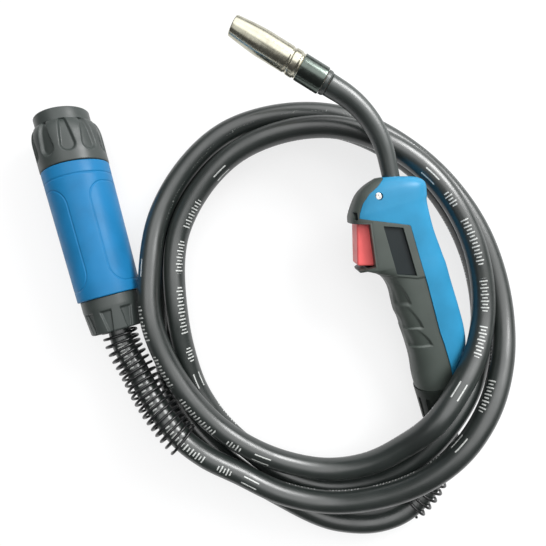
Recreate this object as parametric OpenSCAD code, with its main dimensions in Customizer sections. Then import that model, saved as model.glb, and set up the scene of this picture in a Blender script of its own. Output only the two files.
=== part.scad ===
// MIG welding torch with its cable and central connector, coiled on a flat surface.
// Millimetres, +Z up. The torch, the cable and the connector lie on the plane z = 0.

/* [Placing] */
// Turn of the torch on the floor, from the Y axis
torch_turn = 15.4; // [14:0.1:18]
// Lift of the torch's axis towards its head
torch_tilt = 12; // [11.6:0.1:12.6]
// Turn of the connector on the floor, from the Y axis
connector_turn = 15; // [13:0.5:17]

/* [Handle] */
// Length of the tail piece behind the grip
tail_l = 31; // [28:0.5:34]
// Radius of the tail piece at its rear end
tail_r = 15.3; // [14.8:0.1:16.5]
// Radius of the handle where the tail piece meets the grip
seam_r = 17; // [16.5:0.1:18]
// Length of the grip, from the tail's seam to the guard's lip
grip_l = 111.3; // [104:0.5:120]
// Height of the trigger's bay
bay_l = 37.7; // [36:0.1:41]
// Height of the head above the bay
head_l = 26.5; // [25:0.5:30]
// Reach of the guard's lip in front of the neck's axis
lip_reach = 43.5; // [42.5:0.1:45]
// Reach of the handle's back behind the neck's axis
back_reach = 31.2; // [29:0.2:33]
// Half of the handle's thickness
grip_half = 16.4; // [16:0.1:17.2]
// Wall of the grip shells
shell_wall = 2.2; // [1.8:0.1:2.5]
// Wall of the back cover
cover_wall = 2.2; // [1.6:0.1:2.6]
// Gap between parts that lie beside each other
seam_gap = 0.3; // [0.2:0.05:0.4]
// Depth of the finger scoops in the front of the grip
scoop_depth = 1.3; // [0.6:0.1:2]
// Depth of the sunk panel beside the trigger
panel_depth = 2; // [1:0.1:2.4]
// Number of grooves round the tail piece
tail_grooves = 12; // [8:1:14]

/* [Trigger] */
// Width of the trigger
trigger_w = 18; // [14:0.5:19]
// Angle that the trigger turns through when it is pressed
trigger_travel = 8; // [5:0.5:8]
// Radius of the trigger's hinge pin
pin_r = 1.5; // [1.2:0.1:1.8]
// Radius of the trigger's hub
hub_r = 4; // [3.4:0.1:4.2]
// Width of the trigger's hub
hub_w = 10; // [8:0.5:12]
// Thickness of the micro switch
switch_t = 6.4; // [5:0.2:7]

/* [Neck and nozzle] */
// Radius of the neck's jacket where it leaves the handle
jacket_r = 6.5; // [6:0.1:7]
// Radius of the neck's jacket at the nozzle
jacket_end_r = 8.3; // [7.8:0.1:8.6]
// Radius of the neck's tube
tube_r = 5; // [4.5:0.1:5.2]
// Radius of the neck's bend
neck_bend_r = 80; // [74:1:86]
// Angle of the neck's bend
neck_bend = 45.6; // [42:0.2:48]
// Straight length of the neck between the handle and the bend
neck_foot_l = 11; // [10:0.2:16]
// Straight length of the neck between the bend and the nozzle
neck_end_l = 13; // [10:0.5:16]
// Length of the gas nozzle
nozzle_l = 75; // [72:0.5:80]
// Radius of the gas nozzle at its rear band
nozzle_r = 10.1; // [9.7:0.1:10.4]
// Length of the gas nozzle's rear band
nozzle_band_l = 20.5; // [18:0.5:24]
// Length of the gas nozzle's taper towards its mouth
nozzle_taper_l = 24; // [16:0.5:30]
// Radius of the gas nozzle at its mouth
mouth_r = 7.6; // [7.2:0.1:8.4]
// Wall of the gas nozzle
nozzle_wall = 1.6; // [1.2:0.1:1.8]
// Radius of the contact tip
tip_r = 4; // [3.6:0.1:4.4]
// Length of the contact tip in front of its holder
tip_l = 34; // [30:0.5:36]
// Radius of the wire's bore in the contact tip
wire_r = 0.6; // [0.4:0.1:0.8]

/* [Cable and springs] */
// Radius of the cable
cable_r = 8.9; // [8.4:0.1:8.95]
// Outer radius of the handle's spring
handle_spring_r = 12.5; // [12.2:0.1:12.7]
// Turns of the handle's spring
handle_spring_turns = 14; // [10:1:15]
// Pitch of the handle's spring
handle_spring_pitch = 6.6; // [5.5:0.1:6.8]
// Outer radius of the connector's spring
connector_spring_r = 14.3; // [13.5:0.1:14.5]
// Turns of the connector's spring
connector_spring_turns = 20; // [14:1:20]
// Pitch of the connector's spring
connector_spring_pitch = 5.6; // [5:0.1:5.7]
// Radius of the springs' wire
spring_wire_r = 1.15; // [0.9:0.05:1.25]

/* [Connector] */
// Length of the rear collar
collar_l = 28.2; // [27:0.1:32]
// Radius of the rear collar at its front band
collar_r = 23.6; // [23:0.1:24.4]
// Radius of the rear collar at its rear end
collar_end_r = 21.8; // [21:0.1:22.4]
// Number of flutes round the rear collar
collar_flutes = 9; // [6:1:10]
// Length of the blue housing
housing_l = 107.5; // [100:0.5:112]
// Radius of the housing at its front
housing_r = 26.9; // [26.4:0.1:27.3]
// Radius of the housing at its rear
housing_end_r = 25.6; // [25.2:0.1:26.2]
// Inner radius of the housing
housing_bore_r = 21.8; // [21.2:0.1:22.2]
// Length of the hand nut's fluted part
nut_l = 35.3; // [33:0.5:38]
// Radius of the hand nut
nut_r = 27.2; // [27:0.1:28]
// Number of flutes round the hand nut
nut_flutes = 10; // [8:1:12]
// Length of the hand nut's nose
nose_l = 9.7; // [8:0.1:11]
// Radius of the hand nut's nose
nose_r = 21.8; // [21:0.1:22.4]
// Radius of the hand nut's threaded mouth
mouth_bore_r = 18.6; // [18.3:0.1:19.2]
// Radius of the main pin's shank
main_pin_r = 5; // [4.6:0.1:5.4]
// Length of the main pin's shank in front of its flange
main_pin_l = 13.5; // [12:0.5:14]
// Radius of the small control pins
contact_r = 1.5; // [1.2:0.1:1.8]
// Distance that the control pins spring back
contact_travel = 4; // [2.5:0.5:4]

/* [Hidden] */
$fn = 64;

BLUE = "#2e7fc4";
GREY = "#4a524d";
BLACK = "#23282a";
RED = "#e2505a";
BRASS = "#c9a44c";
COPPER = "#b9754a";
NICKEL = "#c8cacb";
STEEL = "#8f9498";

// A hair that makes cutters pass through the faces they cut
eps = 0.01;
// Clearance of a fixed piece in its bore
fit = 0.1;
// Clearance of a piece that turns or slides in its bore
run = 0.05;

// ---------- Heights along the torch's axis, from the rear end of the tail ----------

lip_y = tail_l + grip_l;
bay_y = lip_y + bay_l;
head_y = bay_y + head_l;
inner_wall = cover_wall + seam_gap + shell_wall;
tail_edge = 0.8;
tail_z = tail_r * cos(torch_tilt) - tail_edge * sin(torch_tilt);
tail_x = 79.9;
tail_y = -104.6;
cavity_seam_r = seam_r - inner_wall;

// ---------- Lengths along the connector's axis, from its rear end ----------

collar_band_l = 8;
housing_y = collar_l + seam_gap;
nut_y = housing_y + housing_l + seam_gap;
nose_y = nut_y + nut_l;
connector_l = nose_y + nose_l;
collar_band_y = collar_l - collar_band_l;
rest_edge = 0.6;
connector_tilt = asin((nut_r - housing_end_r) / (nut_y - housing_y));
connector_z = housing_end_r * cos(connector_tilt) - (housing_y + rest_edge) * sin(connector_tilt);
connector_x = -190.5;
connector_y = -31.1;

// ---------- Placing ----------

module at_torch() {
    translate([tail_x, tail_y, tail_z]) rotate([0, 0, torch_turn]) rotate([torch_tilt, 0, 0]) children();
}

module at_neck_end() {
    at_torch()
        translate([-neck_bend_r, head_y + neck_foot_l, 0])
            rotate([0, 0, neck_bend])
                translate([neck_bend_r, neck_end_l, 0])
                    children();
}

module at_connector() {
    translate([connector_x, connector_y, connector_z])
        rotate([0, 0, connector_turn]) rotate([connector_tilt, 0, 0]) children();
}

function turned_up(p, tilt) =
    [p[0], p[1] * cos(tilt) - p[2] * sin(tilt), p[1] * sin(tilt) + p[2] * cos(tilt)];
function turned_round(p, turn) =
    [p[0] * cos(turn) - p[1] * sin(turn), p[0] * sin(turn) + p[1] * cos(turn), p[2]];
function on_torch(y) =
    [tail_x, tail_y, tail_z] + turned_round(turned_up([0, y, 0], torch_tilt), torch_turn);
function on_connector(y) =
    [connector_x, connector_y, connector_z]
    + turned_round(turned_up([0, y, 0], connector_tilt), connector_turn);

// ---------- Shapes used more than once ----------

// A solid of revolution about the Y axis, from points of radius and height
module turned(profile) {
    rotate([-90, 0, 0]) rotate_extrude() polygon(profile);
}

// A rod along the Y axis between two heights
module rod(r, y0, y1) {
    translate([0, y0, 0]) rotate([-90, 0, 0]) cylinder(r = r, h = y1 - y0);
}

// Children repeated round the Y axis
module round_axis(n, first = 0) {
    for (i = [0:n - 1]) rotate([0, first + i * 360 / n, 0]) children();
}

// A plate in the XY plane, as thick as 2 * half
module plate(half) {
    linear_extrude(2 * half, center = true) children();
}

// Triangles between rings of points, with both ends closed
function ring_faces(rings, sides) = concat(
    [for (i = [0:rings - 2]) for (j = [0:sides - 1]) for (half = [0, 1])
        let (a = i * sides + j, b = i * sides + (j + 1) % sides)
        half == 0 ? [a, a + sides, b] : [a + sides, b + sides, b]],
    [for (j = [1:sides - 2]) [0, j, j + 1]],
    [for (j = [1:sides - 2]) let (a = (rings - 1) * sides) [a, a + j + 1, a + j]]);

module rings_solid(rings) {
    sides = len(rings[0]);
    polyhedron(points = [for (ring = rings) each ring], faces = ring_faces(len(rings), sides));
}

// ---------- Smooth paths and tubes ----------

function unit(v) = v / norm(v);
function chord(knots, i) = norm(knots[i + 1] - knots[i]);
function heading(knots, i) = unit(knots[i + 1] - knots[i]);

// Direction of the path at a knot, weighted towards the shorter chord
function knot_direction(knots, i) =
    i == 0 ? heading(knots, 0) :
    i == len(knots) - 1 ? heading(knots, i - 1) :
    (heading(knots, i) * chord(knots, i - 1) + heading(knots, i - 1) * chord(knots, i))
    / (chord(knots, i - 1) + chord(knots, i));

// Cubic curve between two knots
function path_point(knots, i, t) =
    let (d = chord(knots, i), a = knot_direction(knots, i) * d, b = knot_direction(knots, i + 1) * d)
    knots[i] * (2 * t * t * t - 3 * t * t + 1) + a * (t * t * t - 2 * t * t + t)
    + knots[i + 1] * (3 * t * t - 2 * t * t * t) + b * (t * t * t - t * t);

// Points along the path from knot first to knot last, none further apart than step
function path_points(knots, first, last, step) = [
    for (i = [first:last - 1])
        let (parts = ceil(chord(knots, i) / step))
        for (k = [0:parts - 1]) path_point(knots, i, k / parts),
    knots[last]];

function direction(points, i) =
    unit(points[min(i + 1, len(points) - 1)] - points[max(i - 1, 0)]);

// A ring of points round a path whose direction is never upright
function ring_at(p, along, r, sides) =
    let (side = unit(cross([0, 0, 1], along)), up = cross(along, side))
    [for (k = [0:sides - 1]) p + r * (cos(360 * k / sides) * side + sin(360 * k / sides) * up)];

function tube_rings(points, r, sides) =
    [for (i = [0:len(points) - 1]) ring_at(points[i], direction(points, i), r, sides)];

// Distance travelled at each point of a path
function travelled(points) = [
    for (i = 0, s = 0; i < len(points); i = i + 1,
        s = i < len(points) ? s + norm(points[i] - points[i - 1]) : s) s];

// Least distance between points of a path that are further than apart along it
function least_distance(points, apart) =
    let (s = travelled(points))
    min([for (i = [0:len(points) - 1]) for (j = [i + 1:len(points) - 1])
        if (s[j] - s[i] > apart) norm(points[i] - points[j])]);

// Centre line of a coil wound round a path, from start to start + turns * pitch along it
COIL_RINGS = 8;
function coil_line(points, start, turns, pitch, r) =
    let (s = travelled(points), last = len(points) - 1,
        xs = [for (i = [0:last]) [s[i], points[i][0]]],
        ys = [for (i = [0:last]) [s[i], points[i][1]]],
        zs = [for (i = [0:last]) [s[i], points[i][2]]])
    [for (k = [0:turns * COIL_RINGS])
        let (at = start + pitch * k / COIL_RINGS, h = pitch / 2,
            p = [lookup(at, xs), lookup(at, ys), lookup(at, zs)],
            q = [lookup(at + h, xs), lookup(at + h, ys), lookup(at + h, zs)],
            o = [lookup(at - h, xs), lookup(at - h, ys), lookup(at - h, zs)],
            along = unit(q - o), side = unit(cross([0, 0, 1], along)), up = cross(along, side),
            turn = 360 * k / COIL_RINGS)
        p + r * (cos(turn) * side + sin(turn) * up)];

// The same line with a straight end of one wire's thickness at both ends
function with_straight_ends(line, wire_r) =
    let (last = len(line) - 1)
    concat([line[0] - 2 * wire_r * unit(line[1] - line[0])], line,
        [line[last] + 2 * wire_r * unit(line[last] - line[last - 1])]);

// A ring of a coil's wire, square to the wire
function wire_ring(line, i, wire_r, inward) =
    let (along = direction(line, i), side = unit(inward - along * (inward * along)),
        up = cross(along, side))
    [for (k = [0:5]) line[i] + wire_r * (cos(60 * k) * side + sin(60 * k) * up)];

// Direction from a point of the wire towards the middle of its turn
function inward_at(line, i) =
    let (last = len(line) - 1, k = min(max(i, COIL_RINGS / 2), last - COIL_RINGS / 2),
        middle = (line[k - COIL_RINGS / 2] + line[k + COIL_RINGS / 2] + 2 * line[k]) / 4,
        opposite = (line[k - COIL_RINGS / 2] + line[k + COIL_RINGS / 2]) / 2)
    i == k ? unit(opposite - line[k]) : unit((opposite + line[k]) / 2 - line[i] + eps * middle);

module coil(line, wire_r) {
    full = with_straight_ends(line, wire_r);
    rings_solid([for (i = [0:len(full) - 1]) wire_ring(full, i, wire_r, inward_at(full, i))]);
    echo(coil_least_gap = least_distance(full, 1.6 * norm(line[COIL_RINGS / 2] - line[0])) - 2 * wire_r);
}

// ---------- The cable's route ----------

coil_centre = [-16.9, -20.8];
cable_in_handle = 88;
cable_in_connector = 70;

// Where the cable leaves the handle
HANDLE_BEND = [[82.4, -124.3, 12.9], [79.8, -143.8, 12.7], [72.6, -161.8, 12.7], [61.1, -177.8, 12.7],
    [46.1, -189.8, 12.6], [27.6, -196.8, 12]];

// The coil's loops as angle round the coil's centre, radius and height
LOOPS = [[-86, 177.5, 10], [-105, 160, 9.5], [-120, 153, 9.5], [-135, 150, 9.5], [-150, 148, 9.5],
    [-165, 144, 9.5], [-180, 138, 9.5], [-210, 153, 9.5], [-240, 167, 9.5], [-270, 162.5, 9.5],
    [-300, 148.4, 9.5], [-330, 136.5, 9.5], [-345, 134, 9.5], [-360, 132.6, 13], [-375, 129.1, 25],
    [-390, 124.1, 41.2], [-405, 126.1, 42.8], [-420, 135.5, 33.5], [-435, 144, 20], [-450, 147, 10.5],
    [-465, 141, 9.5], [-480, 133.5, 9.5], [-495, 130, 10], [-510, 127, 13.5], [-525, 124, 19.5],
    [-540, 125, 25.5], [-570, 142.5, 26], [-600, 154, 33], [-630, 152, 42], [-660, 139.9, 45.5],
    [-690, 127.5, 44.5], [-720, 121, 41], [-735, 115.8, 47.5], [-750, 110.6, 54.2],
    [-765, 111.1, 55.8], [-780, 116.5, 43], [-795, 124, 30.5], [-810, 127.5, 23],
    [-825, 126.5, 23.5], [-840, 126, 27.5], [-855, 128, 29.5], [-870, 131, 33],
    [-885, 136.5, 35.5], [-900, 144, 38], [-915, 151, 34], [-930, 162, 28], [-960, 173.5, 28.5],
    [-990, 166, 28.8], [-1020, 149.4, 29], [-1050, 141.5, 28.5], [-1080, 139.6, 34.5],
    [-1095, 138.1, 46], [-1110, 137.6, 55.5], [-1125, 139.6, 57.5], [-1140, 143, 52],
    [-1155, 147.5, 40.5], [-1170, 151.5, 30], [-1185, 150, 28.5], [-1200, 148, 29]];

// Where the cable runs up to the connector
CONNECTOR_BEND = [[-119.4, -132.8, 33.5], [-135.4, -119.3, 36], [-149.7, -103.2, 34],
    [-163.3, -85.0, 30.4], [-176.1, -63.8, 25.5]];

ROUTE = concat(
    [on_torch(cable_in_handle + tail_l), on_torch(cable_in_handle / 2 + tail_l / 2), on_torch(0)],
    HANDLE_BEND,
    [for (p = LOOPS) [coil_centre[0] + p[1] * cos(p[0]), coil_centre[1] + p[1] * sin(p[0]), p[2]]],
    CONNECTOR_BEND,
    [on_connector(-12), on_connector(0), on_connector(cable_in_connector / 2),
        on_connector(cable_in_connector)]);

handle_exit = 2;
handle_bend_end = handle_exit + len(HANDLE_BEND) + 1;
connector_exit = len(ROUTE) - 3;
connector_bend_start = connector_exit - len(CONNECTOR_BEND) - 3;
cable_sides = 10;

// ---------- The handle's skin ----------

// Rows of the handle's outline, from the tail's seam to the top of the head:
// front edge x and y, back edge x and y, half thickness, squareness of the section
HANDLE_ROWS = [
    [-seam_r, tail_l, seam_r, tail_l, seam_r, 2],
    [-seam_r - 0.3, tail_l + 0.1 * grip_l, seam_r + 6, tail_l + 0.11 * grip_l, grip_half + 0.2, 2.3],
    [-seam_r + 0.6, tail_l + 0.24 * grip_l, back_reach - 1.5, tail_l + 0.23 * grip_l, grip_half, 2.6],
    [-seam_r - 0.4, tail_l + 0.41 * grip_l, back_reach, tail_l + 0.38 * grip_l, grip_half, 2.9],
    [-seam_r - 3.2, tail_l + 0.59 * grip_l, back_reach - 1.2, tail_l + 0.56 * grip_l, grip_half, 3],
    [-seam_r - 4.3, tail_l + 0.78 * grip_l, back_reach - 3.2, tail_l + 0.75 * grip_l, grip_half, 3],
    [-seam_r - 8, lip_y - 12, back_reach - 4.4, lip_y - 13, grip_half, 3.1],
    [-lip_reach + 8, lip_y - 4.6, back_reach - 5.6, lip_y - 6, grip_half, 3.3],
    [-lip_reach, lip_y, back_reach - 6.5, lip_y, grip_half, 3.4],
    [2 - lip_reach, lip_y + 0.5 * bay_l, back_reach - 9, lip_y + 0.45 * bay_l, grip_half, 3.4],
    [4.2 - lip_reach, bay_y, back_reach - 9.9, bay_y - 1, grip_half, 3.4],
    [6.6 - lip_reach, bay_y + 0.26 * head_l, back_reach - 8.6, bay_y + 0.24 * head_l,
        grip_half - 0.2, 3.3],
    [13.6 - lip_reach, bay_y + 0.66 * head_l, back_reach - 8, bay_y + 0.55 * head_l,
        grip_half - 1.2, 3],
    [21.5 - lip_reach, head_y - 3.2, back_reach - 13.5, head_y - 6.6, grip_half - 4, 2.7],
    [31 - lip_reach, head_y, back_reach - 26, head_y - 2.8, grip_half - 7, 2.4]];

// Curve through four rows
function between(a, b, c, d, t) =
    0.5 * (2 * b + (c - a) * t + (2 * a - 5 * b + 4 * c - d) * t * t
    + (3 * b - a - 3 * c + d) * t * t * t);
function row_at(i, t) =
    let (rows = HANDLE_ROWS, last = len(rows) - 1)
    between(rows[max(i - 1, 0)], rows[i], rows[min(i + 1, last)], rows[min(i + 2, last)], t);
function handle_rows(parts) = [
    for (i = [0:len(HANDLE_ROWS) - 2]) for (k = [0:parts - 1]) row_at(i, k / parts),
    HANDLE_ROWS[len(HANDLE_ROWS) - 1]];

// A section of the handle, drawn in by inset
function superpower(v, n) = sign(v) * pow(abs(v), 2 / n);
function handle_ring(row, inset, sides) =
    let (front = row[0] + inset, back = row[2] - inset, mid = (front + back) / 2,
        reach = (back - front) / 2, half = row[4] - inset,
        drop = inset * max(0, (row[1] - bay_y) / head_l))
    [for (k = [0:sides - 1])
        let (a = 360 * k / sides, x = mid + reach * superpower(cos(a), row[5]))
        [x, row[1] + (row[3] - row[1]) * (x - front) / (back - front) - drop,
            -half * superpower(sin(a), row[5])]];

module skin(inset, sides = 20) {
    rings_solid([for (row = handle_rows(2)) handle_ring(row, inset, sides)]);
}

// The back cover's outline, with its cheek over the trigger
cover_outline = [[13, tail_l - 1], [12, tail_l + 7], [9.6, tail_l + 37], [8.1, tail_l + 48],
    [6.1, lip_y - 23], [4.3, lip_y - 2], [2.4, bay_y - 12.5], [-33.2, bay_y + 2],
    [-32, bay_y + 5.5], [-28, bay_y + 12], [-22, bay_y + 17.5], [-14, bay_y + 21.5],
    [-8.5, head_y - 1], [-8.5, head_y + 10], [back_reach + 10, head_y + 10],
    [back_reach + 10, tail_l - 1]];

module cover_zone(grow) {
    plate(2 * grip_half) offset(delta = grow) polygon(cover_outline);
}

// The open bay that the trigger moves in
module bay_outline() {
    polygon([[-2 * lip_reach, lip_y + 3], [-lip_reach, lip_y + 0.4], [bay_wall_x, lip_y - 0.7],
        [bay_wall_x + 3, bay_y - 2.7], [-lip_reach, bay_y + 1.8], [-2 * lip_reach, bay_y + 6]]);
}

// ---------- Places inside the handle ----------

bay_wall_x = -28;
pivot = [-29.5, bay_y + 4];
switch_front_x = -20.5;
switch_back_x = -10;
switch_y0 = bay_y - 32;
switch_y1 = bay_y - 12;
plunger_y = bay_y - 20;
plunger_r = 1.2;
plunger_reach = 4.2;
trigger_spring_y = switch_y0 + 3;
trigger_spring_r = 2.4;
trigger_spring_wire = 0.35;
block_r = 9;
block_y0 = lip_y + 4;
block_y1 = block_y0 + 40;
tube_foot_y = block_y0 + 20;
stem_r = 6;
stem_top_y = block_y0 + 7;
sleeve_wall = 1.3;
sleeve_r = cable_r + fit + sleeve_wall;
sleeve_end_y = tail_l + cable_in_handle + 1;
screw_r = 1.4;
screw_head_r = 2.8;
SHELL_SCREWS = [[18.5, tail_l + 42], [12.5, lip_y + 12]];
head_screw_at = [-15.8, bay_y + 14.3];
head_screw_r = 3;
head_seat_z = grip_half - 3.2;
screw_seat_z = 7.3 - grip_half;
boss_r = 3.4;
lead_r = 1;
lead_z = 2.2;

// Bosses that stand in the cavity: round the screws and the switch
module shell_bosses() {
    for (at = SHELL_SCREWS) translate([at[0], at[1], 0])
        cylinder(r = boss_r, h = 2 * grip_half, center = true);
    translate([head_screw_at[0], head_screw_at[1], grip_half / 2 + 2])
        cylinder(r = boss_r, h = grip_half, center = true);
    for (side = [-1, 1])
        translate([switch_front_x + 2, switch_y0 + 3, side > 0 ? switch_t / 2 + fit : -grip_half])
            cube([switch_back_x - switch_front_x - 4, switch_y1 - switch_y0 - 6,
                grip_half - switch_t / 2 - fit]);
    clamp_rib(block_y0 + 8, block_r, -block_r);
    clamp_rib(block_y0 + 30, block_r, -2 * block_r);
    clamp_rib(sleeve_end_y - 10, sleeve_r, 0.2 - block_r);
}

// A rib across the cavity that holds a round piece
module clamp_rib(y, r, front) {
    rib_t = 2.5;
    difference() {
        translate([front, y, -grip_half]) cube([back_reach - front, rib_t, 2 * grip_half]);
        rod(r + fit, y - 1, y + rib_t + 1);
    }
}

// Room inside the handle, in front of and behind the neck's axis
cavity_half = grip_half - inner_wall - 0.9;
cavity_outline = [[-cavity_seam_r, tail_l + 6], [-cavity_seam_r, tail_l + 0.45 * grip_l],
    [-cavity_seam_r - 3.7, tail_l + 0.6 * grip_l], [-cavity_seam_r - 4.5, lip_y - 20],
    [bay_wall_x + 4, lip_y - 4], [bay_wall_x + 4, bay_y + 8], [back_reach - 16, bay_y + 8],
    [back_reach - 16, bay_y], [back_reach - 10.8, lip_y - 0.25 * grip_l],
    [back_reach - 8.7, tail_l + 0.4 * grip_l], [back_reach - 10.7, tail_l + 0.23 * grip_l],
    [back_reach - 19, tail_l + 6]];

module cavity() {
    difference() {
        union() {
            plate(cavity_half) polygon(cavity_outline);
            rod(cavity_seam_r, tail_l - 1, tail_l + 9);
        }
        translate([shell_wall, 0, 0]) plate(2 * grip_half) bay_outline();
        shell_bosses();
    }
}

scoop_r = 26;
module finger_scoops() {
    for (at = [[0.27, 0], [0.52, 1.6], [0.77, 4]])
        translate([-seam_r - scoop_r - at[1] + scoop_depth, tail_l + at[0] * grip_l, 0])
            cylinder(r = scoop_r, h = 4 * grip_half, center = true);
}

// The grip before it is parted: full size in front, drawn in under the back cover
module grip_solid() {
    difference() {
        skin(0, 28);
        cover_zone(seam_gap);
    }
    skin(cover_wall + seam_gap);
}

module side_panel() {
    translate([0, 0, grip_half - panel_depth + 10])
        linear_extrude(20, center = true)
            polygon([[-17.7, bay_y - 7.8], [-3.4, bay_y - 12.5 - seam_gap], [-0.6, lip_y - 14],
                [-15.2, lip_y - 9.5]]);
}

module shell(side) {
    difference() {
        intersection() {
            grip_solid();
            translate([0, head_y / 2, side * 2 * grip_half])
                cube([8 * grip_half, 2 * head_y, 4 * grip_half], center = true);
        }
        cavity();
        plate(2 * grip_half) bay_outline();
        plate(trigger_w / 2 + seam_gap) trigger_slot();
        plate(hub_w / 2 + seam_gap) hub_slot();
        finger_scoops();
        side_panel();
        mirror([0, 0, 1]) side_panel();
        rod(jacket_r + fit, block_y1 - 1, head_y + 10);
        translate([pivot[0], pivot[1], 0])
            cylinder(r = pin_r + eps, h = 2 * (grip_half - inner_wall), center = true);
        for (at = SHELL_SCREWS) translate([at[0], at[1], 0]) {
            cylinder(r = screw_r + fit, h = 1.5 * grip_half, center = true);
            translate([0, 0, screw_seat_z - grip_half])
                cylinder(r = screw_head_r + fit, h = grip_half);
        }
        translate([head_screw_at[0], head_screw_at[1], 3.5])
            cylinder(r = screw_r + fit, h = grip_half);
    }
}

module trigger_slot() {
    polygon([[-lip_reach, lip_y + 0.2], [-21.5, lip_y + 0.2], [-21.5, bay_y - 2],
        [-lip_reach, bay_y + 1.5]]);
}

module hub_slot() {
    polygon([[-35, bay_y - 5], [-23.2, bay_y - 10], [-23.2, bay_y + 6], [-27, bay_y + 9],
        [-33.6, bay_y + 9], [-34.6, bay_y + 4]]);
}

// ---------- Handle ----------

module shell_right() {
    color(GREY) at_torch() shell(1);
}

module shell_left() {
    color(GREY) at_torch() shell(-1);
}

module back_cover() {
    color(BLUE) at_torch()
        difference() {
            intersection() {
                skin(0, 28);
                cover_zone(0);
            }
            skin(cover_wall);
            rod(jacket_r + seam_gap, head_y - 30, head_y + 10);
            translate([head_screw_at[0], head_screw_at[1], 0]) {
                cylinder(r = screw_r + fit, h = 2 * grip_half);
                translate([0, 0, head_seat_z]) cylinder(r = head_screw_r + fit, h = grip_half);
            }
            plate(2 * grip_half) bay_outline();
        }
}

module head_screw() {
    head_h = 1.6;
    color(NICKEL) at_torch()
        translate([head_screw_at[0], head_screw_at[1], 0])
            difference() {
                union() {
                    translate([0, 0, 4.5]) cylinder(r = screw_r, h = head_seat_z - 4.5);
                    translate([0, 0, head_seat_z]) cylinder(r = head_screw_r, h = head_h - 0.6);
                    translate([0, 0, head_seat_z + head_h - 0.6])
                        cylinder(r1 = head_screw_r, r2 = head_screw_r - 0.9, h = 0.6);
                }
                translate([0, 0, head_seat_z + 0.8])
                    for (turn = [0, 90]) rotate([0, 0, turn + 20])
                        translate([-1.7, -0.3, 0]) cube([3.4, 0.6, 3]);
            }
}

module shell_screws() {
    color(STEEL) at_torch()
        for (at = SHELL_SCREWS) translate([at[0], at[1], 0])
            difference() {
                union() {
                    translate([0, 0, screw_seat_z - 2]) cylinder(r = screw_head_r, h = 2);
                    translate([0, 0, screw_seat_z]) cylinder(r = screw_r, h = 1.1 * grip_half);
                }
                translate([0, 0, screw_seat_z - 2.5]) cylinder(r = 1.2, h = 1.6);
            }
}

module trigger_blank() {
    round_r = 1.6;
    corners = [[-35.3 + round_r, bay_y - 1.3 - round_r], [-25.4 - round_r, bay_y - 4.2 - round_r],
        [-28.4 - round_r, lip_y + 0.9 + round_r], [-41.5 + round_r, lip_y + 3.6 + round_r]];
    hull()
        for (at = corners) for (side = [-1, 1])
            translate([at[0], at[1], side * (trigger_w / 2 - round_r)]) sphere(r = round_r, $fn = 20);
}

module trigger() {
    nose_x = switch_front_x - plunger_reach - seam_gap;
    color(RED) at_torch()
        difference() {
            union() {
                trigger_blank();
                plate(hub_w / 2)
                    polygon([[-34, bay_y - 5], [-26.2, bay_y - 6], [-25.6, bay_y + 4],
                        [-33.4, bay_y + 4]]);
                translate([pivot[0], pivot[1], 0]) cylinder(r = hub_r, h = hub_w, center = true);
                translate([-32, plunger_y - 3, -3]) cube([nose_x + 32, 6, 6]);
            }
            translate([pivot[0], pivot[1], 0])
                cylinder(r = pin_r + run, h = 2 * hub_w, center = true);
            translate([-33.6, trigger_spring_y, 0]) rotate([0, 90, 0])
                cylinder(r = trigger_spring_r + 0.6, h = 20);
        }
}

module trigger_pin() {
    color(STEEL) at_torch()
        translate([pivot[0], pivot[1], 0])
            cylinder(r = pin_r, h = 2 * (grip_half - inner_wall) - 3, center = true);
}

// Compression spring between the trigger and the switch's face
module trigger_spring() {
    length = 12.2;
    turns = 6;
    axis = [for (k = [0:20]) [-33.2 + length * k / 20, trigger_spring_y, 0]];
    line = coil_line(axis, 1, turns, (length - 2) / turns, trigger_spring_r - trigger_spring_wire);
    color(STEEL) at_torch() coil(line, trigger_spring_wire);
}

module micro_switch() {
    color(BLACK) at_torch()
        difference() {
            union() {
                translate([switch_front_x, switch_y0, -switch_t / 2])
                    cube([switch_back_x - switch_front_x, switch_y1 - switch_y0, switch_t]);
                for (y = [switch_y0 + 2, switch_y0 + 7])
                    translate([switch_back_x - 4, y - 5, -0.4]) cube([3, 4, 0.8]);
            }
            translate([switch_front_x - 1, plunger_y, 0]) rotate([0, 90, 0])
                cylinder(r = plunger_r + run, h = 7.5);
        }
}

module switch_plunger() {
    color(RED) at_torch()
        translate([switch_front_x - plunger_reach, plunger_y, 0]) rotate([0, 90, 0])
            cylinder(r = plunger_r, h = plunger_reach + 2.5);
}

// Two control wires from the switch down the front of the cavity to the cable
module trigger_leads() {
    front_x = -cavity_seam_r - 1;
    lead_x = -sleeve_r - lead_r - 0.15;
    color(BLACK) at_torch()
        for (side = [-1, 1])
            rings_solid([
                for (p = [[switch_back_x - 5, switch_y0 - 3.6], [front_x - 1, switch_y0 - 14],
                    [lead_x, sleeve_end_y + 4], [lead_x, sleeve_end_y - 24],
                    [-cable_r - lead_r - 0.3, tail_l + 55]])
                    [for (k = [0:7]) [p[0] + lead_r * cos(45 * k), p[1],
                        side * lead_z + lead_r * sin(-45 * k)]]]);
}

module neck_block() {
    color(BRASS) at_torch()
        difference() {
            rod(block_r, block_y0, block_y1);
            rod(stem_r + fit, block_y0 - 1, stem_top_y + seam_gap);
            rod(3, block_y0, block_y1 + 1);
            rod(tube_r + fit, tube_foot_y - seam_gap, block_y1 + 1);
            translate([0, block_y1 - 8, 0]) rotate([0, 90, 0]) cylinder(r = 2, h = block_r + 1);
        }
}

module cable_ferrule() {
    color(COPPER) at_torch()
        difference() {
            union() {
                rod(sleeve_r, sleeve_end_y - 22, sleeve_end_y + 4);
                rod(stem_r, sleeve_end_y + 3, stem_top_y);
            }
            rod(cable_r + fit, sleeve_end_y - 23, sleeve_end_y);
            rod(3, sleeve_end_y - 1, stem_top_y + 1);
        }
}

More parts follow.
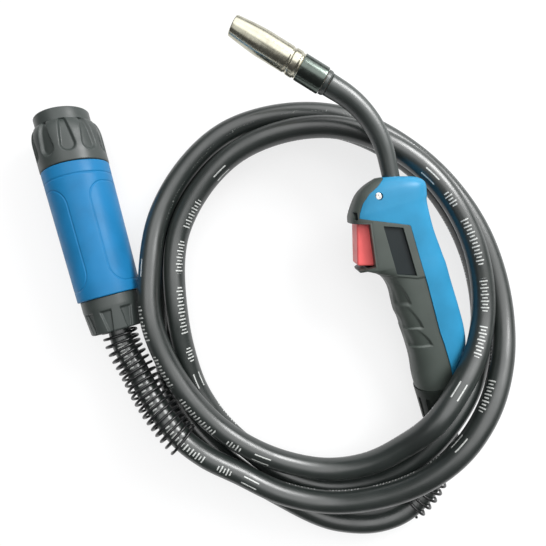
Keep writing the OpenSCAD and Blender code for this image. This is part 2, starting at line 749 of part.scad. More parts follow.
module tail_ferrule() {
    spigot_l = 8;
    groove_r = 1.7;
    spring_seat = 5.5;
    color(GREY) at_torch()
        difference() {
            union() {
                turned([[0, 0], [tail_r - tail_edge, 0], [tail_r, tail_edge], [seam_r - 0.3, tail_l - 6],
                    [seam_r, tail_l - 2], [seam_r, tail_l - seam_gap], [0, tail_l - seam_gap]]);
                rod(cavity_seam_r - fit, tail_l - 1, tail_l + spigot_l);
            }
            rod(cable_r + fit, -1, tail_l + spigot_l + 1);
            rod(handle_spring_r + 0.8, -1, spring_seat);
            round_axis(tail_grooves, 180 / tail_grooves)
                translate([0, -1, tail_r + 0.9]) rotate([-90, 0, 0]) cylinder(r = groove_r, h = 24);
        }
}

// ---------- Neck and nozzle ----------

neck_centre = [-neck_bend_r, head_y + neck_foot_l, 0];

// A round rod along the whole neck
module neck_rod(r, foot_y, end_u) {
    rod(r, foot_y, head_y + neck_foot_l);
    translate(neck_centre) rotate_extrude(angle = neck_bend) translate([neck_bend_r, 0]) circle(r = r);
    translate(neck_centre) rotate([0, 0, neck_bend]) translate([neck_bend_r, 0, 0])
        rod(r, 0, neck_end_l + end_u);
}

module neck_tube() {
    color(COPPER) at_torch()
        difference() {
            neck_rod(tube_r, tube_foot_y, tube_end);
            neck_rod(tube_r - 2, tube_foot_y - 1, tube_end + 1);
        }
}

// Lengths in front of the neck's end
collar_u = 3.4;
tube_end = 14;
insulator_end = 22;
clip_u = 10;
clip_w = 1.8;
holder_end = 36;
nozzle_start = 0.5;
nozzle_bore_r = nozzle_r - nozzle_wall;
neck_collar_r = nozzle_bore_r + 0.7;
insulator_r = nozzle_bore_r - 1.1;
thread_r = 3;

jacket_foot = block_y1 + 4;

// The jacket grows steadily from the handle to the nozzle
module neck_jacket() {
    sides = 24;
    bend_steps = 9;
    rise = head_y + neck_foot_l;
    stations = concat(
        [[0, jacket_foot, 0], [0, head_y, 0], [0, rise, 0]],
        [for (k = [1:bend_steps]) let (a = neck_bend * k / bend_steps)
            [neck_bend_r * (cos(a) - 1), rise + neck_bend_r * sin(a), a]],
        [let (a = neck_bend, l = neck_end_l - collar_u - seam_gap)
            [neck_bend_r * (cos(a) - 1) - l * sin(a), rise + neck_bend_r * sin(a) + l * cos(a), a]]);
    last = len(stations) - 1;
    color(BLACK) at_torch()
        difference() {
            rings_solid([for (i = [0:last])
                let (s = stations[i], grow = max(0, i - 1) / (last - 1),
                    r = jacket_r + (jacket_end_r - jacket_r) * grow)
                [for (k = [0:sides - 1]) let (side = r * cos(360 * k / sides))
                    [s[0] + side * cos(s[2]), s[1] + side * sin(s[2]), -r * sin(360 * k / sides)]]]);
            neck_rod(tube_r + fit, jacket_foot - 1, 0);
        }
}

module neck_collar() {
    color(BLACK) at_neck_end()
        turned([[tube_r + fit, -collar_u], [jacket_end_r + 0.3, -collar_u], [neck_collar_r, -collar_u + 1.2],
            [neck_collar_r, 0], [tube_r + fit, 0]]);
}

module neck_insulator() {
    color("white") at_neck_end()
        turned([[tube_r + fit, 0.2], [insulator_r, 0.2], [insulator_r, clip_u - fit],
            [insulator_r - 0.9, clip_u - fit], [insulator_r - 0.9, clip_u + clip_w + fit],
            [insulator_r, clip_u + clip_w + fit], [insulator_r, insulator_end],
            [tube_r + fit, insulator_end]]);
}

// A split ring that grips the nozzle from inside
module nozzle_clip() {
    color(STEEL) at_neck_end()
        difference() {
            turned([[insulator_r - 0.8, clip_u], [nozzle_bore_r - 0.08, clip_u],
                [nozzle_bore_r - 0.08, clip_u + clip_w], [insulator_r - 0.8, clip_u + clip_w]]);
            translate([0, clip_u - 1, -1.5]) cube([nozzle_r, clip_w + 2, 3]);
        }
}

module tip_holder() {
    gas_hole_r = 1.2;
    color(BRASS) at_neck_end()
        difference() {
            turned([[1.6, tube_end + 0.2], [tube_r, tube_end + 0.2], [tube_r, insulator_end + 0.3],
                [6.6, insulator_end + 0.3], [6.6, insulator_end + 4], [5.6, insulator_end + 4.6],
                [5.6, holder_end - 0.6], [5, holder_end], [thread_r + 0.02, holder_end],
                [thread_r + 0.02, holder_end - 8], [1.6, holder_end - 8]]);
            for (side = [0:3]) translate([0, insulator_end + 6, 0]) rotate([0, 90 * side, 0])
                translate([0, 0, 2]) cylinder(r = gas_hole_r, h = 6);
        }
}

module contact_tip() {
    color(COPPER) at_neck_end()
        turned([[wire_r, holder_end - 7.7], [thread_r, holder_end - 7.7], [thread_r, holder_end + 0.2],
            [tip_r, holder_end + 0.2], [tip_r, holder_end + tip_l - 9],
            [tip_r - 1.5, holder_end + tip_l], [wire_r, holder_end + tip_l]]);
}

// The nozzle's band, the ring in front of it and the long barrel that tapers to the mouth
module gas_nozzle() {
    ring_l = 9;
    barrel_y = nozzle_band_l + ring_l;
    barrel_r = nozzle_r - 0.3;
    taper_y = nozzle_l - nozzle_taper_l;
    groove_r = nozzle_r - 0.9;
    color(NICKEL) at_neck_end()
        turned([[nozzle_bore_r, nozzle_start], [nozzle_r - 0.5, nozzle_start],
            [nozzle_r, nozzle_start + 0.6], [nozzle_r, nozzle_band_l - 0.5],
            [nozzle_r - 0.5, nozzle_band_l], [groove_r, nozzle_band_l + 0.3],
            [groove_r, nozzle_band_l + 1.3], [nozzle_r - 0.5, nozzle_band_l + 1.7],
            [nozzle_r - 0.1, nozzle_band_l + 2.6], [nozzle_r - 0.1, barrel_y - 2.4],
            [nozzle_r - 0.5, barrel_y - 1.6], [groove_r, barrel_y - 1.2], [groove_r, barrel_y - 0.2],
            [barrel_r, barrel_y + 0.4], [barrel_r, taper_y],
            [(barrel_r + mouth_r) / 2 + 0.35, taper_y + nozzle_taper_l / 2],
            [mouth_r, nozzle_l - 0.5], [mouth_r - 0.4, nozzle_l], [mouth_r - nozzle_wall, nozzle_l],
            [nozzle_bore_r - 0.3, taper_y - 1], [nozzle_bore_r, taper_y - 3]]);
}

// ---------- Cable and its springs ----------

module handle_spring() {
    axis = concat([on_torch(10)], path_points(ROUTE, handle_exit, handle_bend_end, 3));
    line = coil_line(axis, 7.4, handle_spring_turns, handle_spring_pitch,
        handle_spring_r - spring_wire_r);
    color(BLACK) coil(line, spring_wire_r);
}

module connector_spring() {
    length = connector_spring_turns * connector_spring_pitch;
    axis = concat(path_points(ROUTE, connector_bend_start, connector_exit, 3), [on_connector(10)]);
    s = travelled(axis);
    start = s[len(s) - 1] - 5 - length;
    line = coil_line(axis, start, connector_spring_turns, connector_spring_pitch,
        connector_spring_r - spring_wire_r);
    color(BLACK) coil(line, spring_wire_r);
}

module cable() {
    last = len(ROUTE) - 1;
    points = concat(
        path_points(ROUTE, 0, handle_exit, 60),
        [for (i = [handle_exit:handle_bend_end - 1]) for (k = [1:2]) path_point(ROUTE, i, k / 2)],
        [for (i = [handle_bend_end:connector_exit - 7]) let (parts = chord(ROUTE, i) > 55 ? 2 : 1)
            for (k = [1:parts]) path_point(ROUTE, i, k / parts)],
        [for (i = [connector_exit - 6:connector_exit - 1]) for (k = [1:2])
            path_point(ROUTE, i, k / 2)],
        [ROUTE[last - 1], ROUTE[last]]);
    color(BLACK) rings_solid(tube_rings(points, cable_r, cable_sides));
    fine = path_points(ROUTE, 0, last, 9);
    echo(cable_length = travelled(fine)[len(fine) - 1]);
    echo(cable_least_gap = least_distance(fine, 60) - 2 * cable_r);
    echo(cable_lowest = min([for (p = fine) p[2]]) - cable_r);
}

// ---------- Connector ----------

spigot_l = 9;
spring_seat_l = 8;
flange_y = nut_y - 15;
flange_r = housing_bore_r - seam_gap;
neck_r = 18;
clip_y = nut_y + 4.8;
lip_bore_r = neck_r + 0.08;
clip_t = 1.4;
disc_y = nut_y + 9;
disc_l = 10;
disc_r = mouth_bore_r - 1.8;
pin_flange_y = disc_y + disc_l + run;
pin_flange_l = 2;
shank_y = pin_flange_y + pin_flange_l;
shank_end_y = shank_y + main_pin_l;
o_ring_r = 0.8;
o_ring_mid = main_pin_r - 1.3;
pin_tip_l = 7;
pin_end_y = shank_end_y + pin_tip_l;
liner_r = 1.4;
CONTACTS = [[-7.5, -11], [7.5, -11]];
contact_flange_r = contact_r + 0.9;
contact_wall = 2;
screw_turns = [125, 235];

// A flat-floored flute that follows the collar's cone and widens to a square end at its front band
module collar_flute() {
    front_w = 9.4;
    rear_w = 4.4;
    flute_l = collar_band_y - 2.5;
    slope = atan((collar_r - collar_end_r) / collar_band_y);
    translate([0, 0, collar_end_r - 1.9]) rotate([slope, 0, 0])
        linear_extrude(12)
            polygon([[-rear_w / 2, -2], [rear_w / 2, -2], [front_w / 2, flute_l], [-front_w / 2, flute_l]]);
}

module rear_collar() {
    color(BLACK) at_connector()
        difference() {
            union() {
                turned([[0, 0], [collar_end_r - 1, 0], [collar_end_r, 1], [collar_r, collar_band_y],
                    [collar_r, collar_l], [0, collar_l]]);
                rod(flange_r, collar_l - 1, collar_l + spigot_l);
            }
            rod(cable_r + fit, -1, collar_l + spigot_l + 1);
            rod(connector_spring_r + 0.7, -1, spring_seat_l);
            round_axis(collar_flutes, 3) collar_flute();
        }
}

// A rectangle with round corners, as an outline for a groove round a grip panel
module panel_outline(w, l, r) {
    square([w, l - 2 * r], center = true);
    square([w - 2 * r, l], center = true);
    for (x = [-1, 1]) for (y = [-1, 1]) translate([x * (w / 2 - r), y * (l / 2 - r)]) circle(r = r);
}

module connector_housing() {
    groove = 0.6;
    panel_w = 1.27 * housing_r;
    panel_corner = 12;
    panel_l = housing_l - 26;
    panel_mid = housing_y + 12 + panel_l / 2;
    color(BLUE) at_connector()
        difference() {
            turned([[housing_bore_r, housing_y], [housing_end_r - rest_edge, housing_y],
                [housing_end_r, housing_y + rest_edge], [housing_r, nut_y - 8.9], [housing_r - 0.6, nut_y - 8.6],
                [housing_r - 0.6, nut_y - 8.2], [housing_r, nut_y - 7.9],
                [housing_r, nut_y - seam_gap - 0.4], [housing_r - 0.4, nut_y - seam_gap],
                [housing_bore_r, nut_y - seam_gap]]);
            intersection() {
                round_axis(3, 46)
                    translate([0, panel_mid, 0]) linear_extrude(2 * housing_r)
                        difference() {
                            panel_outline(panel_w, panel_l, panel_corner);
                            panel_outline(panel_w - 2 * groove, panel_l - 2 * groove,
                                panel_corner - groove);
                        }
                difference() {
                    rod(2 * housing_r, housing_y, nut_y);
                    turned([[0, housing_y - 1], [housing_end_r - 0.5, housing_y - 1],
                        [housing_r - 0.5, nut_y], [0, nut_y]]);
                }
            }
            housing_screw_places() {
                cylinder(r = screw_r + fit, h = 2 * housing_r);
                translate([0, 0, housing_bore_r + 1.6]) cylinder(r = screw_head_r + fit, h = 5);
            }
        }
}

module housing_screw_places() {
    for (turn = screw_turns) rotate([0, turn, 0]) translate([0, flange_y + 7, 0]) children();
}

module housing_screws() {
    color(STEEL) at_connector()
        housing_screw_places()
            difference() {
                union() {
                    translate([0, 0, housing_bore_r - 6]) cylinder(r = screw_r, h = 7.7);
                    translate([0, 0, housing_bore_r + 1.7]) cylinder(r = screw_head_r, h = 1.4);
                }
                translate([-1.8, -0.35, housing_bore_r + 2.4]) cube([3.6, 0.7, 2]);
            }
}

module connector_body() {
    core_r = 12;
    socket_y = cable_in_connector + 1;
    color(BRASS) at_connector()
        difference() {
            turned([[0, socket_y - 20], [sleeve_r, socket_y - 20], [sleeve_r, socket_y + 3],
                [core_r, socket_y + 6], [core_r, flange_y - 3], [flange_r, flange_y],
                [flange_r, nut_y - 0.3], [neck_r, nut_y - 0.3], [neck_r, clip_y - fit],
                [neck_r - 1.6, clip_y - fit], [neck_r - 1.6, clip_y + clip_t + fit],
                [neck_r, clip_y + clip_t + fit], [neck_r, disc_y - fit], [0, disc_y - fit]]);
            rod(cable_r + fit, socket_y - 21, socket_y);
            rod(liner_r + fit, socket_y - 1, disc_y);
            rod(main_pin_r - 1 + fit, disc_y - 17, disc_y);
            housing_screw_places()
                translate([0, 0, housing_bore_r - 6.5]) cylinder(r = screw_r + fit, h = 8);
        }
}

module nut_clip() {
    color(STEEL) at_connector()
        difference() {
            turned([[neck_r - 1.5, clip_y], [neck_r + 1.4, clip_y], [neck_r + 1.4, clip_y + clip_t],
                [neck_r - 1.5, clip_y + clip_t]]);
            translate([-2.5, clip_y - 1, 0]) cube([5, clip_t + 2, nut_r]);
        }
}

// The nut's outer edge: full radius at the rear, rounded in to the nose
module hand_nut() {
    flute_r = 7;
    flute_floor = nut_r - 3;
    shoulder_l = 13;
    shoulder = [for (k = [0:6]) let (a = 15 * k)
        [nose_r + (nut_r - nose_r) * cos(a), nose_y - shoulder_l * (1 - sin(a))]];
    color(BLACK) at_connector()
        difference() {
            turned(concat(
                [[lip_bore_r, nut_y], [nut_r - rest_edge, nut_y], [nut_r, nut_y + rest_edge]],
                shoulder,
                [[nose_r, nose_y + 0.3], [nose_r, connector_l - 1], [nose_r - 0.9, connector_l],
                    [mouth_bore_r, connector_l], [mouth_bore_r, disc_y + 4],
                    [neck_r + 2, disc_y + 2], [neck_r + 2, clip_y - 0.3], [lip_bore_r, clip_y - 0.3]]));
            round_axis(nut_flutes, 180 / nut_flutes)
                translate([0, nut_y + 15, flute_floor + flute_r]) {
                    rod(flute_r, 0, nut_l);
                    sphere(r = flute_r);
                }
        }
}

module insulator_disc() {
    color("ivory") at_connector()
        difference() {
            rod(disc_r, disc_y, disc_y + disc_l);
            rod(main_pin_r + fit, disc_y - 1, disc_y + disc_l + 1);
            for (at = CONTACTS) translate([at[0], 0, at[1]]) {
                rod(contact_flange_r + run, disc_y - 1, disc_y + disc_l - contact_wall);
                rod(contact_r + run, disc_y, disc_y + disc_l + 1);
            }
        }
}

module main_pin() {
    color(BRASS) at_connector()
        difference() {
            turned([[liner_r + fit, disc_y - 16], [main_pin_r - 1, disc_y - 16], [main_pin_r - 1, disc_y],
                [main_pin_r, disc_y], [main_pin_r, pin_flange_y], [main_pin_r + 2.5, pin_flange_y],
                [main_pin_r + 2.5, shank_y], [main_pin_r, shank_y], [main_pin_r, shank_end_y - 0.5],
                [main_pin_r - 1, shank_end_y], [main_pin_r - 1, pin_end_y - 0.4],
                [main_pin_r - 1.4, pin_end_y], [liner_r + fit, pin_end_y]]);
            for (y = o_ring_places)
                difference() {
                    rod(main_pin_r, y - o_ring_r - fit, y + o_ring_r + fit);
                    rod(o_ring_mid - o_ring_r - run, y - 2, y + 2);
                }
        }
}

o_ring_places = [shank_end_y + 1.6, shank_end_y + 4.8];

module o_rings() {
    color(BLACK) at_connector()
        for (y = o_ring_places) translate([0, y, 0]) rotate([-90, 0, 0])
            rotate_extrude() translate([o_ring_mid, 0]) circle(r = o_ring_r);
}

module liner_nut() {
    color(BRASS) at_connector()
        difference() {
            translate([0, pin_end_y + 0.1, 0]) rotate([-90, 0, 0]) cylinder(r = 3.4, h = 2.4, $fn = 6);
            rod(liner_r + run, pin_end_y - 1, pin_end_y + 4);
        }
}

module wire_liner() {
    color(STEEL) at_connector()
        difference() {
            rod(liner_r, disc_y - 30, pin_end_y + 3);
            rod(liner_r - 0.6, disc_y - 31, pin_end_y + 4);
        }
}

module contact_pin(at) {
    flange_t = 1.5;
    top = disc_y + disc_l - contact_wall - fit;
    color(BRASS) at_connector() translate([at[0], 0, at[1]])
        turned([[0, top - flange_t], [contact_flange_r, top - flange_t], [contact_flange_r, top],
            [contact_r, top], [contact_r, disc_y + disc_l + 9.4],
            [contact_r - 0.6, disc_y + disc_l + 10], [0, disc_y + disc_l + 10]]);
}

module contact_spring(at) {
    wire = 0.25;
    turns = 5;
    foot = disc_y + 0.6;
    length = disc_l - contact_wall - fit - 1.5 - 1.2;
    axis = [for (k = [0:12]) [at[0], foot - 2 + (length + 4) * k / 12, at[1]]];
    line = coil_line(axis, 2, turns, length / turns, contact_flange_r - 0.5);
    color(STEEL) at_connector() coil(line, wire);
}

module contact_pin_a() { contact_pin(CONTACTS[0]); }
module contact_pin_b() { contact_pin(CONTACTS[1]); }
module contact_spring_a() { contact_spring(CONTACTS[0]); }
module contact_spring_b() { contact_spring(CONTACTS[1]); }

shell_right();
shell_left();
back_cover();
head_screw();
shell_screws();
trigger();
trigger_pin();
trigger_spring();
micro_switch();
switch_plunger();
trigger_leads();
neck_block();
cable_ferrule();
tail_ferrule();
neck_tube();
neck_jacket();
neck_collar();
neck_insulator();
nozzle_clip();
tip_holder();
contact_tip();
gas_nozzle();
handle_spring();
cable();
connector_spring();
rear_collar();
connector_housing();
housing_screws();
connector_body();
nut_clip();
hand_nut();
insulator_disc();
main_pin();
o_rings();
liner_nut();
wire_liner();
contact_pin_a();
contact_pin_b();
contact_spring_a();
contact_spring_b();
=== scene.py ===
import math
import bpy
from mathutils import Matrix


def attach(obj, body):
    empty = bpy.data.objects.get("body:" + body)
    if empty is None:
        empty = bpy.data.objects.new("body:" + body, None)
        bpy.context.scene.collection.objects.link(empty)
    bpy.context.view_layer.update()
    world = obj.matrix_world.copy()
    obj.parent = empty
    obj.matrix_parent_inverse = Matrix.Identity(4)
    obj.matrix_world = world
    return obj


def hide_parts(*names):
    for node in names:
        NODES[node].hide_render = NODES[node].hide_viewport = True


bl_info = {
    "name": "MIG Welding Torch",
    "version": (1, 0, 0),
    "blender": (4, 5, 0),
    "location": "View3D > Sidebar > Torch",
    "description": "Dresses a MIG welding torch, its coiled cable and its central connector",
    "category": "Object",
}

import bmesh
import bpy
import numpy as np

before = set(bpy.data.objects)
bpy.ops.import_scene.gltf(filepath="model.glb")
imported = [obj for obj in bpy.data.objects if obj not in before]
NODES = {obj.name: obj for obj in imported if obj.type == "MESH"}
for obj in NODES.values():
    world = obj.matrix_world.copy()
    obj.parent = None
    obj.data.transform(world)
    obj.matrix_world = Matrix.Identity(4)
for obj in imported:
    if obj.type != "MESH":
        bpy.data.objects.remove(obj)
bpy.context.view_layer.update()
MM = 0.001


# ---------------------------------------------------------------- places

TORCH_AT = (79.9, -104.6)
TORCH_TURN = 15.4
TORCH_TILT = 12.0
TAIL_RADIUS = 15.3
TAIL_EDGE = 0.8
CONNECTOR_AT = (-190.5, -31.1)
CONNECTOR_TURN = 15.0
COIL_CENTRE = (-16.9, -20.8)

# Heights along the torch's own axis, from the rear of the tail
TAIL_LENGTH = 31.0
LIP_Y = 142.3
BAY_Y = 180.0
HEAD_Y = 206.5
SEAM_RADIUS = 17.0
HALF_THICKNESS = 16.4
GUARD_REACH = 43.5
BACK_REACH = 31.2
BAY_LENGTH = BAY_Y - LIP_Y
HEAD_LENGTH = HEAD_Y - BAY_Y
GRIP_LENGTH = LIP_Y - TAIL_LENGTH
BEND_RADIUS = 80.0
BEND_ANGLE = 45.6
NECK_FOOT = 11.0
NECK_END = 13.0
# The neck's jacket: where it starts, how far short of the neck's end it stops, radii and bore
JACKET_Y = LIP_Y + 48
JACKET_SHORT = 3.7
JACKET_RADII = (6.5, 8.3)
JACKET_BORE = 5.1
JACKET_SIDES = 72
# Its rows of points along the straight, the bend and the end
JACKET_ROWS = (12, 60, 10)
# The gas nozzle, from its rear
NOZZLE_RADIUS = 10.1
NOZZLE_BORE = 8.5
NOZZLE_BAND = 20.5
NOZZLE_LENGTH = 75.0
NOZZLE_TAPER = 24.0
MOUTH_RADIUS = 7.6

# Heights along the connector's own axis, from its rear
COLLAR_LENGTH = 28.2
COLLAR_BAND_Y = COLLAR_LENGTH - 8
HOUSING_Y = 28.5
NUT_Y = 136.3
NOSE_Y = 171.6
CONNECTOR_LENGTH = 181.3
COLLAR_RADIUS = 23.6
COLLAR_REAR_RADIUS = 21.8
NUT_RADIUS = 27.2
NOSE_RADIUS = 21.8
HOUSING_REAR_RADIUS = 25.6
HOUSING_FRONT_RADIUS = 26.9
HOUSING_BORE_RADIUS = 21.8
HOUSING_EDGE = 0.6
HOUSING_SEAM_Y = NUT_Y - 10.2
HOUSING_SEAM_DEPTH = 0.6

# The housing's grip panels: outline, the housing left behind them, the first one's turn, the radius
# at which their width is measured, and the depth of the groove round them
HOUSING_PANEL_LENGTH = 81.5
HOUSING_PANEL_WIDTH = 37.0
HOUSING_PANEL_CORNER = 14.0
HOUSING_PANEL_MARGIN = 8.6
HOUSING_PANEL_TURN = 70.0
HOUSING_PANEL_RADIUS = 26.4
HOUSING_PANEL_DEPTH = 0.55

# The nut's seat on the body, its bore and its clip's groove, and the collar's bores
NUT_SEAT_RADIUS = 18.08
NUT_BORE_RADIUS = 18.6
NUT_CLIP_RADIUS = 20.0
CABLE_BORE_RADIUS = 9.0
SPRING_BORE_RADIUS = 15.0
SPRING_SEAT_Y = 8.0

# Flutes: half width at the wide and at the thin end, and the radius at which it is measured
NUT_FLUTE = (6.2, 3.0, 26.0)
NUT_FLUTE_Y = NUT_Y + 14
COLLAR_FLUTE = (4.7, 2.2, 22.5)
COLLAR_FLUTE_Y = COLLAR_BAND_Y - 2.5
COLLAR_FLUTE_DEPTH = 1.9
COLLAR_FLUTE_TURN = 3.0
FLUTED_OVER_RADIUS = 20.5
CONNECTOR_COLUMNS = 360


def turn_z(angle):
    """A turn about Z by an angle in degrees."""
    c, s = math.cos(math.radians(angle)), math.sin(math.radians(angle))
    return np.array([[c, -s, 0], [s, c, 0], [0, 0, 1]])


def turn_x(angle):
    """A turn about X by an angle in degrees."""
    c, s = math.cos(math.radians(angle)), math.sin(math.radians(angle))
    return np.array([[1, 0, 0], [0, c, -s], [0, s, c]])


def cosd(angle):
    """Cosine of an angle in degrees."""
    return math.cos(math.radians(angle))


def sind(angle):
    """Sine of an angle in degrees."""
    return math.sin(math.radians(angle))


TORCH_ORIGIN = np.array([*TORCH_AT, TAIL_RADIUS * cosd(TORCH_TILT)
                         - TAIL_EDGE * sind(TORCH_TILT)])
TORCH_AXES = turn_z(TORCH_TURN) @ turn_x(TORCH_TILT)
CONNECTOR_TILT = math.degrees(math.asin((NUT_RADIUS - HOUSING_REAR_RADIUS) / (NUT_Y - HOUSING_Y)))
CONNECTOR_ORIGIN = np.array([*CONNECTOR_AT, HOUSING_REAR_RADIUS * cosd(CONNECTOR_TILT)
                             - (HOUSING_Y + HOUSING_EDGE) * sind(CONNECTOR_TILT)])
CONNECTOR_AXES = turn_z(CONNECTOR_TURN) @ turn_x(CONNECTOR_TILT)
NECK_AXES = TORCH_AXES @ turn_z(BEND_ANGLE)
NECK_ORIGIN = (TORCH_ORIGIN + TORCH_AXES @ np.array([-BEND_RADIUS, HEAD_Y + NECK_FOOT, 0])
               + NECK_AXES @ np.array([BEND_RADIUS, NECK_END, 0]))


def on_torch(points):
    """Points of the torch's own frame, in millimetres, placed on the floor."""
    return TORCH_ORIGIN + np.asarray(points, float) @ TORCH_AXES.T


def on_connector(points):
    """Points of the connector's own frame placed on the floor."""
    return CONNECTOR_ORIGIN + np.asarray(points, float) @ CONNECTOR_AXES.T


def on_neck(points):
    """Points of the nozzle's own frame, which starts at the neck's end, placed over the floor."""
    return NECK_ORIGIN + np.asarray(points, float) @ NECK_AXES.T


# ---------------------------------------------------------------- the cable's route

HANDLE_BEND = [(82.4, -124.3, 12.9), (79.8, -143.8, 12.7), (72.6, -161.8, 12.7),
               (61.1, -177.8, 12.7), (46.1, -189.8, 12.6), (27.6, -196.8, 12)]
# The loops as angle round the coil's centre, radius and height
LOOPS = [(-86, 177.5, 10), (-105, 160, 9.5), (-120, 153, 9.5), (-135, 150, 9.5), (-150, 148, 9.5),
         (-165, 144, 9.5), (-180, 138, 9.5), (-210, 153, 9.5), (-240, 167, 9.5),
         (-270, 162.5, 9.5), (-300, 148.4, 9.5), (-330, 136.5, 9.5), (-345, 134, 9.5),
         (-360, 132.6, 13), (-375, 129.1, 25), (-390, 124.1, 41.2), (-405, 126.1, 42.8),
         (-420, 135.5, 33.5), (-435, 144, 20), (-450, 147, 10.5), (-465, 141, 9.5),
         (-480, 133.5, 9.5), (-495, 130, 10), (-510, 127, 13.5), (-525, 124, 19.5),
         (-540, 125, 25.5), (-570, 142.5, 26), (-600, 154, 33), (-630, 152, 42),
         (-660, 139.9, 45.5), (-690, 127.5, 44.5), (-720, 121, 41), (-735, 115.8, 47.5),
         (-750, 110.6, 54.2), (-765, 111.1, 55.8), (-780, 116.5, 43), (-795, 124, 30.5),
         (-810, 127.5, 23), (-825, 126.5, 23.5), (-840, 126, 27.5), (-855, 128, 29.5),
         (-870, 131, 33), (-885, 136.5, 35.5), (-900, 144, 38), (-915, 151, 34), (-930, 162, 28),
         (-960, 173.5, 28.5), (-990, 166, 28.8), (-1020, 149.4, 29), (-1050, 141.5, 28.5),
         (-1080, 139.6, 34.5), (-1095, 138.1, 46), (-1110, 137.6, 55.5), (-1125, 139.6, 57.5),
         (-1140, 143, 52), (-1155, 147.5, 40.5), (-1170, 151.5, 30), (-1185, 150, 28.5),
         (-1200, 148, 29)]
CONNECTOR_BEND = [(-119.4, -132.8, 33.5), (-135.4, -119.3, 36), (-149.7, -103.2, 34),
                  (-163.3, -85, 30.4), (-176.1, -63.8, 25.5)]
CABLE_IN_HANDLE = 88.0
CABLE_IN_CONNECTOR = 70.0
CONNECTOR_LEAD = 12.0
# How far inside the tail the visible cable starts, the steps of its path and its sides
CABLE_START = 28.0
KNOT_STEP = 4.0
CABLE_STEP = 2.4
CABLE_SIDES = 40


def route():
    """The knots of the cable's centre line, from inside the handle to inside the connector."""
    loops = [(COIL_CENTRE[0] + r * cosd(a), COIL_CENTRE[1] + r * sind(a), z) for a, r, z in LOOPS]
    inside = CABLE_IN_HANDLE + TAIL_LENGTH
    rear = on_torch([(0, inside, 0), (0, inside / 2, 0), (0, 0, 0)])
    nose = on_connector([(0, -CONNECTOR_LEAD, 0), (0, 0, 0), (0, CABLE_IN_CONNECTOR / 2, 0),
                         (0, CABLE_IN_CONNECTOR, 0)])
    return np.vstack([rear, HANDLE_BEND, loops, CONNECTOR_BEND, nose])


def smooth_path(knots, step):
    """Points on cubic Hermite curves through the knots. A knot's direction is the mean of its two
    chords' directions, weighted towards the shorter chord, and each curve's tangents are that
    direction times the chord."""
    knots = np.asarray(knots, float)
    chords = np.diff(knots, axis=0)
    length = np.linalg.norm(chords, axis=1)
    heading = chords / length[:, None]
    inner = ((heading[1:] * length[:-1, None] + heading[:-1] * length[1:, None])
             / (length[:-1] + length[1:])[:, None])
    slope = np.vstack([heading[:1], inner, heading[-1:]])
    parts = np.ceil(length / step).astype(int)
    segment = np.repeat(np.arange(len(parts)), parts)
    first = np.repeat(np.cumsum(parts) - parts, parts)
    t = ((np.arange(len(segment)) - first) / parts[segment])[:, None]
    d = length[segment][:, None]
    points = (knots[segment] * (2 * t ** 3 - 3 * t ** 2 + 1)
              + slope[segment] * d * (t ** 3 - 2 * t ** 2 + t)
              + knots[segment + 1] * (3 * t ** 2 - 2 * t ** 3)
              + slope[segment + 1] * d * (t ** 3 - t ** 2))
    return np.vstack([points, knots[-1:]])


def travelled(points):
    """Distance along a path at each of its points."""
    return np.concatenate([[0], np.cumsum(np.linalg.norm(np.diff(points, axis=0), axis=1))])


def even_path(points, step):
    """The same path with its points a step apart."""
    s = travelled(points)
    at = np.linspace(0, s[-1], max(2, int(round(s[-1] / step)) + 1))
    return np.stack([np.interp(at, s, points[:, i]) for i in range(3)], axis=1)


def path_axes(points):
    """Direction, side and up at each point: side is level, and up is square to both."""
    along = np.gradient(points, axis=0)
    along /= np.linalg.norm(along, axis=1)[:, None]
    side = np.cross([0, 0, 1.0], along)
    side /= np.linalg.norm(side, axis=1)[:, None]
    return along, side, np.cross(along, side)


# ---------------------------------------------------------------- meshes

def grid_faces(rows, columns, wrap_rows=False, wrap_columns=False):
    """Quads between neighbouring points of a grid, which may close on itself either way."""
    i = np.arange(rows if wrap_rows else rows - 1)
    j = np.arange(columns if wrap_columns else columns - 1)
    i, j = np.meshgrid(i, j, indexing="ij")
    i, j = i.ravel(), j.ravel()
    k, l = (i + 1) % rows, (j + 1) % columns
    return np.stack([i * columns + j, i * columns + l, k * columns + l, k * columns + j], axis=1)


def solid(name, points, faces, material, caps=(), smooth=True):
    """One object from points in millimetres and an array of faces; caps are extra rings to fill."""
    mesh = bpy.data.meshes.new(name)
    mesh.from_pydata((np.asarray(points, float) * MM).tolist(), [],
                     np.asarray(faces).tolist() + [list(map(int, c)) for c in caps])
    mesh.update()
    piece = bpy.data.objects.new(name, mesh)
    bpy.context.scene.collection.objects.link(piece)
    mesh.materials.append(material)
    mesh.polygons.foreach_set("use_smooth", np.full(len(mesh.polygons), smooth))
    return piece


def outward(piece):
    """Merges doubles and turns every face of a closed piece outwards."""
    bm = bmesh.new()
    bm.from_mesh(piece.data)
    bmesh.ops.remove_doubles(bm, verts=bm.verts, dist=1e-6)
    bmesh.ops.recalc_face_normals(bm, faces=bm.faces)
    bm.to_mesh(piece.data)
    bm.free()
    return piece


def tube_points(path, radius, sides):
    """Rings of points square to a path: centre + radius * (cos a * side + sin a * up)."""
    _, side, up = path_axes(path)
    angle = np.linspace(0, 2 * np.pi, sides, endpoint=False)
    ring = np.cos(angle)[:, None, None] * side + np.sin(angle)[:, None, None] * up
    return (path + np.asarray(radius) * ring).transpose(1, 0, 2).reshape(-1, 3)


def end_caps(rings, sides):
    """The first and the last ring of a tube, as faces."""
    return [range(sides)[::-1], range((rings - 1) * sides, rings * sides)]


